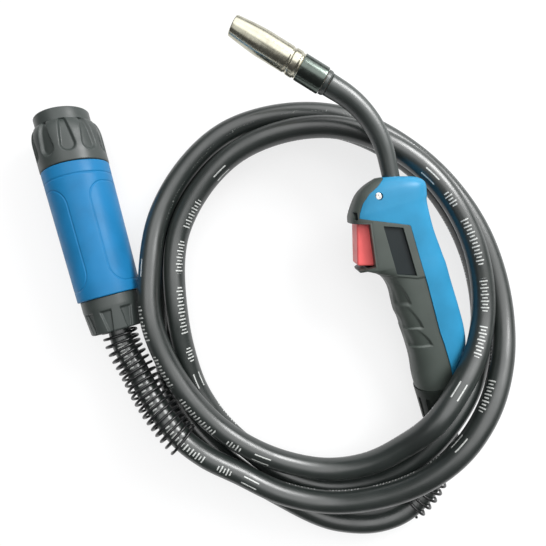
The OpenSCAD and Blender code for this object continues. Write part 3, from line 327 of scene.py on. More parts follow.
def coil_line(path, start, turns, pitch, radius, steps=32):
    """A helix round a path: at distance start + pitch * t it stands at angle t turns."""
    s = travelled(path)
    _, side, up = path_axes(path)
    t = np.linspace(0, turns, turns * steps + 1)
    at = start + pitch * t
    take = lambda rows: np.stack([np.interp(at, s, rows[:, i]) for i in range(3)], axis=1)
    turn = (2 * np.pi * t)[:, None]
    return take(path) + radius * (np.cos(turn) * take(side) + np.sin(turn) * take(up))


def wire(name, line, radius, material, sides=10):
    """A round wire along a line that may turn any way: each ring is square to the line, and its
    first direction is carried on from ring to ring by projection."""
    along = np.gradient(line, axis=0)
    along /= np.linalg.norm(along, axis=1)[:, None]
    side = np.zeros_like(along)
    side[0] = np.cross(along[0], [0.3, 0.2, 0.93])
    for i in range(1, len(line)):
        side[i] = side[i - 1] - along[i] * (side[i - 1] @ along[i])
        side[i] /= np.linalg.norm(side[i])
    side[0] /= np.linalg.norm(side[0])
    up = np.cross(along, side)
    angle = np.linspace(0, 2 * np.pi, sides, endpoint=False)[:, None, None]
    points = (line + radius * (np.cos(angle) * side + np.sin(angle) * up)).transpose(1, 0, 2)
    faces = grid_faces(len(line), sides, wrap_columns=True)
    return outward(solid(name, points.reshape(-1, 3), faces, material, end_caps(len(line), sides)))


def keep(points, triangles, field):
    """Cuts triangles along field = 0 and keeps the side where the field is positive. A cut edge
    gets one new point, at the fraction f_a / (f_a - f_b) of its length."""
    inside = field > 0
    count = inside[triangles].sum(1)
    kept = [triangles[count == 3]]
    ends, wanted = [], []
    for n in (1, 2):
        part = triangles[count == n]
        odd = (inside[part] == (n == 1)).argmax(1)
        row = np.arange(len(part))
        a, b, c = part[row, odd], part[row, (odd + 1) % 3], part[row, (odd + 2) % 3]
        ends += [np.stack([a, b], 1), np.stack([a, c], 1)]
        wanted.append((n, a, b, c))
    pairs = np.sort(np.vstack(ends), axis=1)
    pairs, index = np.unique(pairs, axis=0, return_inverse=True)
    index = index.ravel() + len(points)
    f = field[pairs]
    share = (f[:, 0] / (f[:, 0] - f[:, 1]))[:, None]
    cut = points[pairs[:, 0]] * (1 - share) + points[pairs[:, 1]] * share
    at = 0
    for n, a, b, c in wanted:
        ab, ac = index[at:at + len(a)], index[at + len(a):at + 2 * len(a)]
        at += 2 * len(a)
        if n == 1:
            kept.append(np.stack([a, ab, ac], 1))
        else:
            kept += [np.stack([ab, b, c], 1), np.stack([ab, c, ac], 1)]
    points, triangles = np.vstack([points, cut]), np.vstack(kept)
    used, triangles = np.unique(triangles, return_inverse=True)
    return points[used], triangles.reshape(-1, 3)


def halves(quads):
    """Two triangles for each quad."""
    return np.vstack([quads[:, [0, 1, 2]], quads[:, [0, 2, 3]]])


def within(x, y, corners):
    """Distance inside a convex counter-clockwise outline: the least of those to its edges."""
    corners = np.asarray(corners, float)
    best = np.full(np.shape(x), np.inf)
    for (x0, y0), (x1, y1) in zip(corners, np.roll(corners, -1, axis=0)):
        l = math.hypot(x1 - x0, y1 - y0)
        best = np.minimum(best, ((x1 - x0) * (y - y0) - (y1 - y0) * (x - x0)) / l)
    return best


def ease(low, high, value):
    """0 below low, 1 above high, and 3 t^2 - 2 t^3 between."""
    t = np.clip((value - low) / (high - low), 0, 1)
    return t * t * (3 - 2 * t)


def turned_points(profile, columns, relief=None):
    """Points of a body of revolution about Y: (r sin a, y, r cos a), with r less a relief that is a
    function of the angle and of the point's place on the profile."""
    profile = np.asarray(profile, float)
    angle = np.linspace(0, 2 * np.pi, columns, endpoint=False)
    a, r = np.meshgrid(angle, profile[:, 0])
    y = np.repeat(profile[:, 1:2], columns, axis=1)
    if relief is not None:
        r = r - relief(a, y, r)
    return np.stack([r * np.sin(a), y, r * np.cos(a)], axis=2).reshape(-1, 3)


# How far under its largest radius a turned piece's unseen bore starts, and the step there
BORE_DEPTH = 4.8
BORE_STEP = 3.0


def fine_profile(profile, step, bevel):
    """A closed profile of radius and height with points a step apart, or BORE_STEP in its bore, and
    its corners cut at bevel."""
    profile = np.asarray(profile, float)
    before, after = np.roll(profile, 1, axis=0) - profile, np.roll(profile, -1, axis=0) - profile
    lb, la = np.linalg.norm(before, axis=1)[:, None], np.linalg.norm(after, axis=1)[:, None]
    cb, ca = np.minimum(bevel, lb * 0.45), np.minimum(bevel, la * 0.45)
    first, last = profile + before / lb * cb, profile + after / la * ca
    middle = 0.25 * first + 0.5 * profile + 0.25 * last
    ring = np.stack([first, middle, last], axis=1).reshape(-1, 2)
    bore = profile[:, 0].max() - BORE_DEPTH
    out = []
    for a, b in zip(ring, np.roll(ring, -1, axis=0)):
        n = max(1, int(np.linalg.norm(b - a) / (step if max(a[0], b[0]) > bore else BORE_STEP)))
        out.append(a + (b - a) * (np.arange(n) / n)[:, None])
    return np.vstack(out)


def turned(name, profile, material, place, columns, step, bevel, relief=None):
    """A closed body of revolution, placed by on_neck or on_connector."""
    ring = fine_profile(profile, step, bevel)
    points = turned_points(ring, columns, relief)
    return outward(solid(name, place(points), grid_faces(len(ring), columns, True, True), material))


# ---------------------------------------------------------------- the handle's form

# Front edge x and y, back edge x and y, half thickness, squareness
HANDLE_ROWS = np.array([
    (-SEAM_RADIUS, TAIL_LENGTH, SEAM_RADIUS, TAIL_LENGTH, SEAM_RADIUS, 2),
    (-SEAM_RADIUS - 0.3, TAIL_LENGTH + 0.1 * GRIP_LENGTH, SEAM_RADIUS + 6,
     TAIL_LENGTH + 0.11 * GRIP_LENGTH, HALF_THICKNESS + 0.2, 2.3),
    (-SEAM_RADIUS + 0.6, TAIL_LENGTH + 0.24 * GRIP_LENGTH, BACK_REACH - 1.5,
     TAIL_LENGTH + 0.23 * GRIP_LENGTH, HALF_THICKNESS, 2.6),
    (-SEAM_RADIUS - 0.4, TAIL_LENGTH + 0.41 * GRIP_LENGTH, BACK_REACH,
     TAIL_LENGTH + 0.38 * GRIP_LENGTH, HALF_THICKNESS, 2.9),
    (-SEAM_RADIUS - 3.2, TAIL_LENGTH + 0.59 * GRIP_LENGTH, BACK_REACH - 1.2,
     TAIL_LENGTH + 0.56 * GRIP_LENGTH, HALF_THICKNESS, 3),
    (-SEAM_RADIUS - 4.3, TAIL_LENGTH + 0.78 * GRIP_LENGTH, BACK_REACH - 3.2,
     TAIL_LENGTH + 0.75 * GRIP_LENGTH, HALF_THICKNESS, 3),
    (-SEAM_RADIUS - 8, LIP_Y - 12, BACK_REACH - 4.4, LIP_Y - 13, HALF_THICKNESS, 3.1),
    (-GUARD_REACH + 8, LIP_Y - 4.6, BACK_REACH - 5.6, LIP_Y - 6, HALF_THICKNESS, 3.3),
    (-GUARD_REACH, LIP_Y, BACK_REACH - 6.5, LIP_Y, HALF_THICKNESS, 3.4),
    (2 - GUARD_REACH, LIP_Y + 0.5 * BAY_LENGTH, BACK_REACH - 9, LIP_Y + 0.45 * BAY_LENGTH,
     HALF_THICKNESS, 3.4),
    (4.2 - GUARD_REACH, BAY_Y, BACK_REACH - 9.9, BAY_Y - 1, HALF_THICKNESS, 3.4),
    (6.6 - GUARD_REACH, BAY_Y + 0.26 * HEAD_LENGTH, BACK_REACH - 8.6, BAY_Y + 0.24 * HEAD_LENGTH,
     HALF_THICKNESS - 0.2, 3.3),
    (13.6 - GUARD_REACH, BAY_Y + 0.66 * HEAD_LENGTH, BACK_REACH - 8, BAY_Y + 0.55 * HEAD_LENGTH,
     HALF_THICKNESS - 1.2, 3),
    (21.5 - GUARD_REACH, HEAD_Y - 3.2, BACK_REACH - 13.5, HEAD_Y - 6.6, HALF_THICKNESS - 4, 2.7),
    (31 - GUARD_REACH, HEAD_Y, BACK_REACH - 26, HEAD_Y - 2.8, HALF_THICKNESS - 7, 2.4)], float)

# Where the blue cover's edge runs: height, and place from front to back
COVER_EDGE = np.array([(TAIL_LENGTH - 1, 13), (TAIL_LENGTH + 7, 12), (TAIL_LENGTH + 37, 9.6),
                       (TAIL_LENGTH + 48, 8.1), (LIP_Y - 23, 6.1), (LIP_Y - 2, 4.3),
                       (BAY_Y - 12.5, 2.4), (BAY_Y + 2, -33.2), (BAY_Y + 5.5, -32),
                       (BAY_Y + 12, -28), (BAY_Y + 17.5, -22), (BAY_Y + 21.5, -14),
                       (HEAD_Y - 1, -8.5), (HEAD_Y + 20, -8.5)])
BAY = [(-90, LIP_Y - 4.8), (-28, LIP_Y - 0.7), (-25, BAY_Y - 2.7), (-90, BAY_Y + 13.1)]
PANEL = [(-17.7, BAY_Y - 7.8), (-15.2, LIP_Y - 9.5), (-0.6, LIP_Y - 14), (-3.4, BAY_Y - 12.8)]
PANEL_DEPTH = 2.0
SCREW_AT = (-15.8, BAY_Y + 14.3)
SCREW_HOLE_RADIUS = 2.95
# The slot in the hood, the plate behind it and the plate's height
HOOD_SLOT = [(-36.9, BAY_Y + 1.3), (-34.4, BAY_Y + 0.8), (-33.6, BAY_Y + 6.6), (-35.9, BAY_Y + 7.2)]
SLOT_BACK = [(-37.0, BAY_Y + 1.2), (-33.3, BAY_Y + 0.6), (-32.5, BAY_Y + 6.8), (-36.0, BAY_Y + 7.2)]
SLOT_FLOOR = 8.4
# The neck's hole, in the cover and in the shells, and the height from which it is cut
COVER_NECK_HOLE = 6.9
SHELL_NECK_HOLE = 6.6
NECK_HOLE_Y = HEAD_Y - 20
# The gaps between the cover and the shells, and between a shell and the middle plane
SEAM_GAP = 0.3
HALF_GAP = 0.04
# How far out the panel, the slot and the screw's hole are cut, and the field where nothing is
PANEL_OVER, SLOT_OVER, SCREW_OVER = 8, 2, 5
CLEAR = 9.0
# Thickness of the shells, of the bay's walls and of the sunk plates, and the shells' bevel
WALL = 2.2
BAY_WALL = 1.6
PLATE_WALL = 1.2
EDGE_BEVEL = 0.25
# Half width of the trigger's slot, and how far under the skin the bay's walls end
TRIGGER_SLOT = 9.3
BAY_INSET = 0.15
# The finger rests at the front: place along the grip and how far out each stands, their arcs'
# radius and depth, and how softly they meet the grip
SCOOPS = [(0.27, 0.0), (0.52, 1.6), (0.77, 4.0)]
SCOOP_RADIUS = 26.0
SCOOP_DEPTH = 1.3
SCOOP_SOFT = 0.5
# The finger rests on the sides: upper end, lower end and inner edge
SIDE_RESTS = [(LIP_Y - 10, LIP_Y - 35, -9.0), (LIP_Y - 35, LIP_Y - 56, -3.5),
              (LIP_Y - 56, LIP_Y - 72, 1.0)]
# The step under the guard: below this line the grip is drawn in
STEP_EDGE = np.array([(-60, LIP_Y + 0.2), (-43.5, LIP_Y - 1.2), (-30, LIP_Y - 4.2),
                      (-15.2, LIP_Y - 10.4), (-0.6, LIP_Y - 15), (20, LIP_Y - 15.5)])
STEP_DEPTH = 0.7
# The closed top: rows of points and how far it is domed
TOP_ROWS = 26
TOP_RISE = 0.6


def handle_rows(parts):
    """Rows between the drawn ones, on uniform Catmull-Rom curves."""
    rows = np.vstack([HANDLE_ROWS[:1], HANDLE_ROWS, HANDLE_ROWS[-1:]])
    i = np.repeat(np.arange(len(HANDLE_ROWS) - 1), parts)
    t = np.tile(np.arange(parts) / parts, len(HANDLE_ROWS) - 1)[:, None]
    a, b, c, d = rows[i], rows[i + 1], rows[i + 2], rows[i + 3]
    mid = 0.5 * (2 * b + (c - a) * t + (2 * a - 5 * b + 4 * c - d) * t ** 2
                 + (3 * b - a - 3 * c + d) * t ** 3)
    return np.vstack([mid, HANDLE_ROWS[-1:]])


def handle_skin(relief, parts=18, sides=280):
    """The handle's outer surface as triangles. A section is the superellipse
    |x / a|^p + |z / b|^p = 1 in polar form, r = (|cos / a|^p + |sin / b|^p)^(-1/p). A finger rest
    at the front is an arc w(y) that x keeps over, as (x + w + sqrt((x - w)^2 + s^2)) / 2, and the
    top is closed by drawing the last section in to its middle."""
    rows = handle_rows(parts)
    front, front_y, back, back_y, half, power = [rows[:, k:k + 1] for k in range(6)]
    angle = np.linspace(0, 2 * np.pi, sides, endpoint=False)[None, :]
    mid, reach = (front + back) / 2, (back - front) / 2
    r = (np.abs(np.cos(angle) / reach) ** power
         + np.abs(np.sin(angle) / half) ** power) ** (-1 / power)
    r = r - relief(mid + r * np.cos(angle), front_y, r * np.sin(angle))
    x, z = mid + r * np.cos(angle), r * np.sin(angle)
    y = front_y + (back_y - front_y) * (x - front) / (back - front)
    for place, out in SCOOPS:
        centre_x = -SEAM_RADIUS - SCOOP_RADIUS - out + SCOOP_DEPTH
        away = y - TAIL_LENGTH - place * GRIP_LENGTH
        rise = np.sqrt(np.maximum(SCOOP_RADIUS ** 2 - away ** 2, 0))
        wall = centre_x + rise
        x = np.where(rise > 0, 0.5 * (x + wall + np.sqrt((x - wall) ** 2 + SCOOP_SOFT ** 2)), x)
    skin = np.stack([x, y, z], axis=2)
    middle = skin[-1].mean(0)
    quarter = np.linspace(0, np.pi / 2, TOP_ROWS)[1:-1, None, None]
    cap = (middle + (skin[-1] - middle) * np.cos(quarter)
           + np.sin(quarter) * np.array([0, TOP_RISE, 0]))
    points = np.vstack([skin.reshape(-1, 3), cap.reshape(-1, 3)])
    count = len(rows) + len(cap)
    return points, halves(grid_faces(count, sides, wrap_columns=True))


def skin_half_thickness(x, y):
    """Half thickness of the handle at a place in its side view, from the same superellipse."""
    rows = handle_rows(12)
    mid_y = (rows[:, 1] + rows[:, 3]) / 2
    front, back, half, power = [np.interp(y, mid_y, rows[:, k]) for k in (0, 2, 4, 5)]
    t = np.clip(np.abs((x - (front + back) / 2) / ((back - front) / 2)), 0, 1)
    return half * (1 - t ** power) ** (1 / power)


def no_relief(x, y, z):
    """The cover isn't drawn in."""
    return 0.0


def grip_relief(x, y, z):
    """How far the grip is drawn in: STEP_DEPTH under the guard, and scalloped finger rests on its
    sides, each 0.35 + 1.45 t deep, with t from 0 at its upper end to 1 at its lower ledge."""
    below = np.interp(x, STEP_EDGE[:, 0], STEP_EDGE[:, 1]) - y
    drawn = STEP_DEPTH * ease(0, 0.9, below)
    side = ease(4, 9, np.abs(z))
    for top, foot, edge in SIDE_RESTS:
        t = np.clip((top - y) / (top - foot), 0, 1)
        boundary = edge - 9 * (1 - t) ** 1.6
        inside = ease(0, 3.2, boundary - x) * ((y < top) & (y > foot))
        drawn = drawn + side * inside * (0.35 + 1.45 * t) * ease(0, 1.0, y - foot)
    return drawn


def cover_edge(y):
    """Where the blue cover's edge stands at a height."""
    return np.interp(y, COVER_EDGE[:, 0], COVER_EDGE[:, 1])


def cut_handle(relief, inside_cover, half=0):
    """The handle's surface on one side of the cover's edge, open at the trigger's bay and the neck.
    half is 1 or -1 for a grip shell, which is also open at its side panel and at the hood's slot,
    and 0 for the cover, which has both sides and the screw's hole."""
    side, gap, hole = (1, 0, COVER_NECK_HOLE) if inside_cover else (-1, SEAM_GAP, SHELL_NECK_HOLE)
    cuts = [lambda x, y, z: side * (x - cover_edge(y)) - gap,
            lambda x, y, z: -within(x, y, BAY),
            lambda x, y, z: np.where(y > NECK_HOLE_Y, np.hypot(x, z) - hole, CLEAR)]
    if half:
        cuts += [lambda x, y, z: half * z - HALF_GAP,
                 lambda x, y, z: np.where(half * z > PANEL_OVER, -within(x, y, PANEL), CLEAR),
                 lambda x, y, z: np.where(half * z > SLOT_OVER, -within(x, y, HOOD_SLOT), CLEAR)]
    else:
        away = lambda x, y: np.hypot(x - SCREW_AT[0], y - SCREW_AT[1])
        cuts += [lambda x, y, z: np.where(z > SCREW_OVER, away(x, y) - SCREW_HOLE_RADIUS, CLEAR)]
    points, triangles = handle_skin(relief)
    for cut in cuts:
        points, triangles = keep(points, triangles, cut(*points.T))
    return points, triangles


def walled(piece, thickness, bevel=0.0):
    """Gives an open surface its wall, inwards, with closed rims."""
    wall = piece.modifiers.new("wall", "SOLIDIFY")
    wall.thickness = thickness * MM
    wall.offset = -1
    wall.use_even_offset = False
    if bevel:
        edge = piece.modifiers.new("edge", "BEVEL")
        edge.width = bevel * MM
        edge.segments = 2
        edge.limit_method = "ANGLE"
        edge.angle_limit = math.radians(50)
    return piece


def bay_walls(half):
    """The walls of the trigger's bay in one grip shell: a strip along the bay's outline, from the
    trigger's slot out to the skin, so a point is (x, y, lerp(inner, outer, v))."""
    corners = np.array([(-GUARD_REACH + 2.4, LIP_Y - 1.65), (-28, LIP_Y - 0.7), (-25, BAY_Y - 2.7),
                        (-GUARD_REACH + 4.4, BAY_Y + 0.8)])
    parts = [40, 60, 40]
    line = np.vstack([corners[k] + (corners[k + 1] - corners[k]) * (np.arange(n) / n)[:, None]
                      for k, n in enumerate(parts)] + [corners[-1:]])
    outer = skin_half_thickness(line[:, 0], line[:, 1]) - BAY_INSET
    # The strip stops at the trigger's slot, and at both its ends it goes on to the other half
    at = np.arange(len(line))
    slotted = (at > parts[0] * 0.55) & (at < len(line) - parts[2] * 0.2)
    inner = np.where(slotted, TRIGGER_SLOT, 0.02)
    outer = np.maximum(outer, inner + 0.05)
    columns = 12
    z = half * (inner[:, None] + (outer - inner)[:, None] * np.linspace(0, 1, columns))
    across = np.repeat(line[:, None], columns, axis=1)
    points = np.concatenate([across, z[..., None]], axis=2).reshape(-1, 3)
    faces = grid_faces(len(line), columns)
    return points, faces if half < 0 else faces[:, ::-1]


def panel_plate(half, corners, height, spread):
    """A sunk plate: a bilinear patch of its outline, pushed a little past the rim, at a height."""
    a, b, c, d = [np.array(p, float) for p in corners]
    centre = (a + b + c + d) / 4
    a, b, c, d = [centre + (p - centre) * spread for p in (a, b, c, d)]
    rows = 24
    u, v = np.meshgrid(np.linspace(0, 1, rows), np.linspace(0, 1, rows))
    u, v = u[..., None], v[..., None]
    flat = (a * (1 - u) + d * u) * (1 - v) + (b * (1 - u) + c * u) * v
    z = np.full(flat.shape[:2] + (1,), half * height)
    points = np.concatenate([flat, z], 2).reshape(-1, 3)
    faces = grid_faces(rows, rows)
    return points, faces[:, ::-1] if half > 0 else faces


# ---------------------------------------------------------------- finishes

def colour(red, green, blue):
    """Linear colour from 0-255 screen values."""
    def linear(v):
        v = v / 255
        return v / 12.92 if v <= 0.04045 else ((v + 0.055) / 1.055) ** 2.4
    return (linear(red), linear(green), linear(blue), 1.0)


# Depth of every surface's grain, in metres
GRAIN_DEPTH = 0.0001


class Wiring:
    """A node tree being wired: node adds one with its settings, link joins two sockets, and ranged
    and maths add the two nodes used most."""

    def __init__(self, tree):
        self.tree = tree

    def node(self, kind, **settings):
        made = self.tree.nodes.new(kind)
        for key, value in settings.items():
            if key in made.inputs:
                made.inputs[key].default_value = value
            else:
                setattr(made, key, value)
        return made

    def link(self, a, b):
        self.tree.links.new(a, b)

    def ranged(self, value, low, high, to_low, to_high):
        made = self.node("ShaderNodeMapRange", **{"From Min": low, "From Max": high,
                                                  "To Min": to_low, "To Max": to_high})
        self.link(value, made.inputs["Value"])
        return made.outputs["Result"]

    def maths(self, operation, first, second=None):
        made = self.node("ShaderNodeMath", operation=operation)
        for socket, value in zip(made.inputs, (first, second)):
            if value is None:
                continue
            if isinstance(value, (int, float)):
                socket.default_value = value
            else:
                self.link(value, socket)
        return made.outputs[0]


class Finish(Wiring):
    """A material being wired: a Principled shader with object coordinates at hand."""

    def __init__(self, name, base, rough, metallic=0.0, specular=0.5):
        self.material = bpy.data.materials.new(name)
        self.material.use_nodes = True
        super().__init__(self.material.node_tree)
        self.shader = self.tree.nodes["Principled BSDF"]
        for socket, value in (("Base Color", base), ("Roughness", rough), ("Metallic", metallic),
                              ("Specular IOR Level", specular)):
            self.shader.inputs[socket].default_value = value
        self.place = self.node("ShaderNodeTexCoord").outputs["Object"]

    def noise(self, scale, detail=3.0, rough=0.5):
        made = self.node("ShaderNodeTexNoise", Scale=scale, Detail=detail, Roughness=rough)
        self.link(self.place, made.inputs["Vector"])
        return made.outputs["Fac"]

    def mixed(self, factor, first, second):
        made = self.node("ShaderNodeMix", data_type="RGBA")
        sockets = [s for s in made.inputs if s.type == "RGBA"]
        for socket, value in zip(sockets, (first, second)):
            if isinstance(value, tuple):
                socket.default_value = value
            else:
                self.link(value, socket)
        self.link(factor, made.inputs[0])
        return [s for s in made.outputs if s.type == "RGBA"][0]

    def tint(self, value):
        self.link(value, self.shader.inputs["Base Color"])

    def roughness(self, value):
        self.link(value, self.shader.inputs["Roughness"])

    def bump(self, height, strength):
        made = self.node("ShaderNodeBump", Strength=strength, Distance=GRAIN_DEPTH)
        self.link(height, made.inputs["Height"])
        self.link(made.outputs["Normal"], self.shader.inputs["Normal"])


def scaled(base, factor):
    """A colour made darker or lighter."""
    return (base[0] * factor, base[1] * factor, base[2] * factor, 1.0)


def moulded(name, base, rough, grain=2600.0, bump=0.12, specular=0.35, wear=0.0):
    """Moulded plastic or rubber: a faint mottle, spark-eroded grain and rubbed patches."""
    f = Finish(name, base, rough, specular=specular)
    cloud = f.ranged(f.noise(38, 4), 0.35, 0.65, 0.0, 1.0)
    skin = f.mixed(cloud, scaled(base, 0.92), scaled(base, 1.08))
    if wear:
        rub = f.ranged(f.noise(120, 6, 0.7), 0.60, 0.78, 0.0, wear)
        skin = f.mixed(rub, skin, scaled(base, 1.6))
    f.tint(skin)
    f.roughness(f.ranged(f.noise(90, 3), 0.3, 0.7, rough - 0.05, rough + 0.07))
    f.bump(f.noise(grain, 2), bump)
    return f.material


def metal(name, base, rough, grain=900.0, stain=0.15, bump=0.05, stain_colour=None):
    """Turned or plated metal: cloudy tarnish, fine scratches and uneven polish."""
    f = Finish(name, base, rough, metallic=1.0)
    cloud = f.ranged(f.noise(160, 5, 0.6), 0.4, 0.75, 0.0, 1.0)
    f.tint(f.mixed(f.maths("MULTIPLY", cloud, stain), base, stain_colour or scaled(base, 0.55)))
    f.roughness(f.ranged(f.noise(420, 4, 0.7), 0.3, 0.7, max(rough - 0.06, 0.04), rough + 0.1))
    f.bump(f.noise(grain, 3, 0.7), bump)
    return f.material


# The print, in metres: the dashes' two sides and length, and the strokes' pitch, width and reach
DASH_SIDES = (0.0021, 0.0031)
DASH_LENGTH = 0.014
STROKE_STEP = 0.0028
STROKE_WIDTH = 0.0011
STROKE_REACH = 0.0019
# Where the groups of strokes stand after a pair of dashes, in millimetres
PRINT_GROUPS = [(24, 39), (50, 88), (99, 127), (139, 166)]


def cable_finish(jacket, print_colour, pitch):
    """Black rubber jacket with a soft sheen. Its own UV map holds the distance along the cable and
    round it from the printed line, both in metres; the print is groups of plain strokes between
    pairs of dashes."""
    f = Finish("cable_rubber", jacket, 0.34, specular=1.0)
    lay = f.node("ShaderNodeUVMap", uv_map="lay")
    split = f.node("ShaderNodeSeparateXYZ")
    f.link(lay.outputs["UV"], split.inputs["Vector"])
    times = lambda a, b: f.maths("MULTIPLY", a, b)
    under = lambda a, b: f.maths("LESS_THAN", a, b)
    every = lambda a, b: f.maths("FLOORED_MODULO", a, b)
    between = lambda a, low, high: times(f.maths("GREATER_THAN", a, low), under(a, high))
    away = f.maths("ABSOLUTE", split.outputs["Y"])
    place = every(split.outputs["X"], pitch)
    marks = times(between(away, *DASH_SIDES), under(place, DASH_LENGTH))
    # Every second stroke reaches further out
    tall = under(every(place, 2 * STROKE_STEP), STROKE_STEP)
    reach = f.maths("ADD", STROKE_REACH, times(tall, STROKE_WIDTH))
    stroke = times(under(every(place, STROKE_STEP), STROKE_WIDTH), under(away, reach))
    for low, high in PRINT_GROUPS:
        group = times(stroke, between(place, low * MM, high * MM))
        marks = f.maths("MAXIMUM", marks, group)
    patchy = f.ranged(f.noise(900, 3), 0.3, 0.55, 0.5, 0.9)
    cloud = f.ranged(f.noise(22, 4), 0.35, 0.65, 0.0, 1.0)
    skin = f.mixed(cloud, scaled(jacket, 0.88), scaled(jacket, 1.1))
    dust = f.ranged(f.noise(260, 6, 0.7), 0.58, 0.8, 0.0, 0.16)
    skin = f.mixed(dust, skin, scaled(jacket, 2.4))
    f.tint(f.mixed(times(marks, patchy), skin, print_colour))
    f.roughness(f.ranged(f.noise(60, 4), 0.3, 0.7, 0.28, 0.4))
    f.bump(f.noise(1400, 3), 0.08)
    return f.material


def lay_map(piece, rows, columns, along, around):
    """Writes the tube's UV map: each corner's distance along the path and round it."""
    i, j = np.meshgrid(np.arange(rows - 1), np.arange(columns), indexing="ij")
    i, j = i.ravel(), j.ravel()
    u = np.stack([along[i], along[i], along[i + 1], along[i + 1]], 1)
    v = np.stack([around[i, j], around[i, j + 1], around[i + 1, j + 1], around[i + 1, j]], 1)
    layer = piece.data.uv_layers.new(name="lay")
    values = np.zeros((len(piece.data.loops), 2), np.float32)
    values[:4 * len(i), 0] = u.ravel()
    values[:4 * len(i), 1] = v.ravel()
    layer.data.foreach_set("uv", values.ravel())


# ---------------------------------------------------------------- settings

def length(label, text, value):
    """A length, given in millimetres."""
    return bpy.props.FloatProperty(name=label, description=text, default=value * MM, min=0,
                                   precision=5, subtype="DISTANCE", unit="LENGTH")


def shade(label, text, red, green, blue):
    """A colour, given in 0-255 screen values."""
    return bpy.props.FloatVectorProperty(name=label, description=text, size=4, min=0, max=1,
                                         default=colour(red, green, blue), subtype="COLOR")


def number(label, text, value):
    """How many flutes there are."""
    return bpy.props.IntProperty(name=label, description=text, default=value, min=3, max=24)


def level(label, text, value, **unit):
    """How bright a light is."""
    return bpy.props.FloatProperty(name=label, description=text, default=value, min=0, **unit)


class CableSettings(bpy.types.PropertyGroup):
    radius: length("Radius", "Radius of the cable", 8.9)
    print_pitch: length("Print pitch", "Length after which the printed marks repeat", 188.6)
    jacket: shade("Jacket", "Colour of the cable's jacket", 33, 39, 37)
    marks: shade("Marks", "Colour of the printed marks", 205, 208, 205)


class SpringSettings(bpy.types.PropertyGroup):
    wire_radius: length("Wire radius", "Radius of the bend reliefs' wire", 1.15)
    handle_radius: length("Handle spring", "Outer radius of the spring at the handle", 12.5)
    connector_radius: length("Connector spring", "Outer radius of the spring at the connector",
                             14.3)
    paint: shade("Wire", "Colour of the springs", 20, 21, 22)


class HandleSettings(bpy.types.PropertyGroup):
    cover: shade("Cover", "Colour of the back cover", 46, 132, 173)
    grip: shade("Grip", "Colour of the grip shells", 66, 74, 69)
    panel: shade("Panel", "Colour of the sunk side panels", 30, 37, 39)
    trigger: shade("Trigger", "Colour of the trigger", 246, 108, 108)


class NozzleSettings(bpy.types.PropertyGroup):
    jacket: shade("Neck", "Colour of the neck's jacket", 48, 54, 52)
    plating: shade("Plating", "Colour of the nozzle's plating", 194, 192, 175)
    # The foot's darker nickel is painted dark reflection on the nozzle's rear band.
    foot: shade("Foot", "Colour of the smoked plating at the nozzle's foot", 92, 100, 95)


class ConnectorSettings(bpy.types.PropertyGroup):
    housing: shade("Housing", "Colour of the housing", 26, 111, 161)
    fitting: shade("Fittings", "Colour of the nut and the rear collar", 56, 62, 60)
    nut_flutes: number("Nut flutes", "Flutes round the hand nut", 10)
    collar_flutes: number("Collar flutes", "Flutes round the rear collar", 9)
    flute_depth: length("Flute depth", "Depth of the nut's flutes", 2.6)


class StageSettings(bpy.types.PropertyGroup):
    camera_height: length("Camera height", "Height of the camera over the floor", 415)
    floor: shade("Floor", "Colour of the floor", 246, 247, 248)
    lamp: level("Lamp", "Power of the main soft lamp", 6.5, unit="POWER")
    sky: level("Sky", "Brightness of the soft light overhead", 2.4)


SETTINGS = {"torch_cable": CableSettings, "torch_springs": SpringSettings,
            "torch_handle": HandleSettings, "torch_nozzle": NozzleSettings,
            "torch_connector": ConnectorSettings, "torch_stage": StageSettings}


def settings(name):
    """The scene's settings of one group."""
    return getattr(bpy.context.scene, name)


def carry(piece, body, slot, *nodes):
    """Makes a piece move with a body and stand for CAD nodes, which it hides. The slot is not used.
    """
    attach(piece, body)
    if nodes:
        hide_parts(*nodes)


def finish_node(material, *names):
    """Gives CAD nodes their finish."""
    for name in names:
        mesh = NODES[name].data
        if not mesh.materials:
            mesh.materials.append(material)
        for k in range(len(mesh.materials)):
            mesh.materials[k] = material


# ---------------------------------------------------------------- pieces

# Where the printed line stands round the cable: distance along it, and degrees up from its side
PRINT_TURN = [(0, 200), (1257, 190), (1279, 130), (1340, 127), (1483, 138), (1492, 200),
              (1637, 200), (1656, 120), (1720, 106), (1800, 106), (1861, 112), (1869, 205),
              (2012, 215), (2033, 80), (2100, 60), (2160, 50), (2238, 38), (2246, -30),
              (2600, -150), (2728, -165), (2739, -212), (2803, -206), (2812, -160), (2956, -160),
              (2976, -268), (3300, -270)]
PRINT_START = -39.8
# The bend springs: turns and pitch, how far each axis runs on into its holder, the step and the
# chords of the axis, where the handle's starts, and how far from the axis's end the other stops
SPRING_TURNS = {"handle": (14, 6.6), "connector": (20, 5.6)}
SPRING_RUN_ON = 10.0
SPRING_STEP = 2.0
SPRING_CHORD = 3.0
HANDLE_SPRING_START = 7.4
CONNECTOR_SPRING_GAP = 5.0


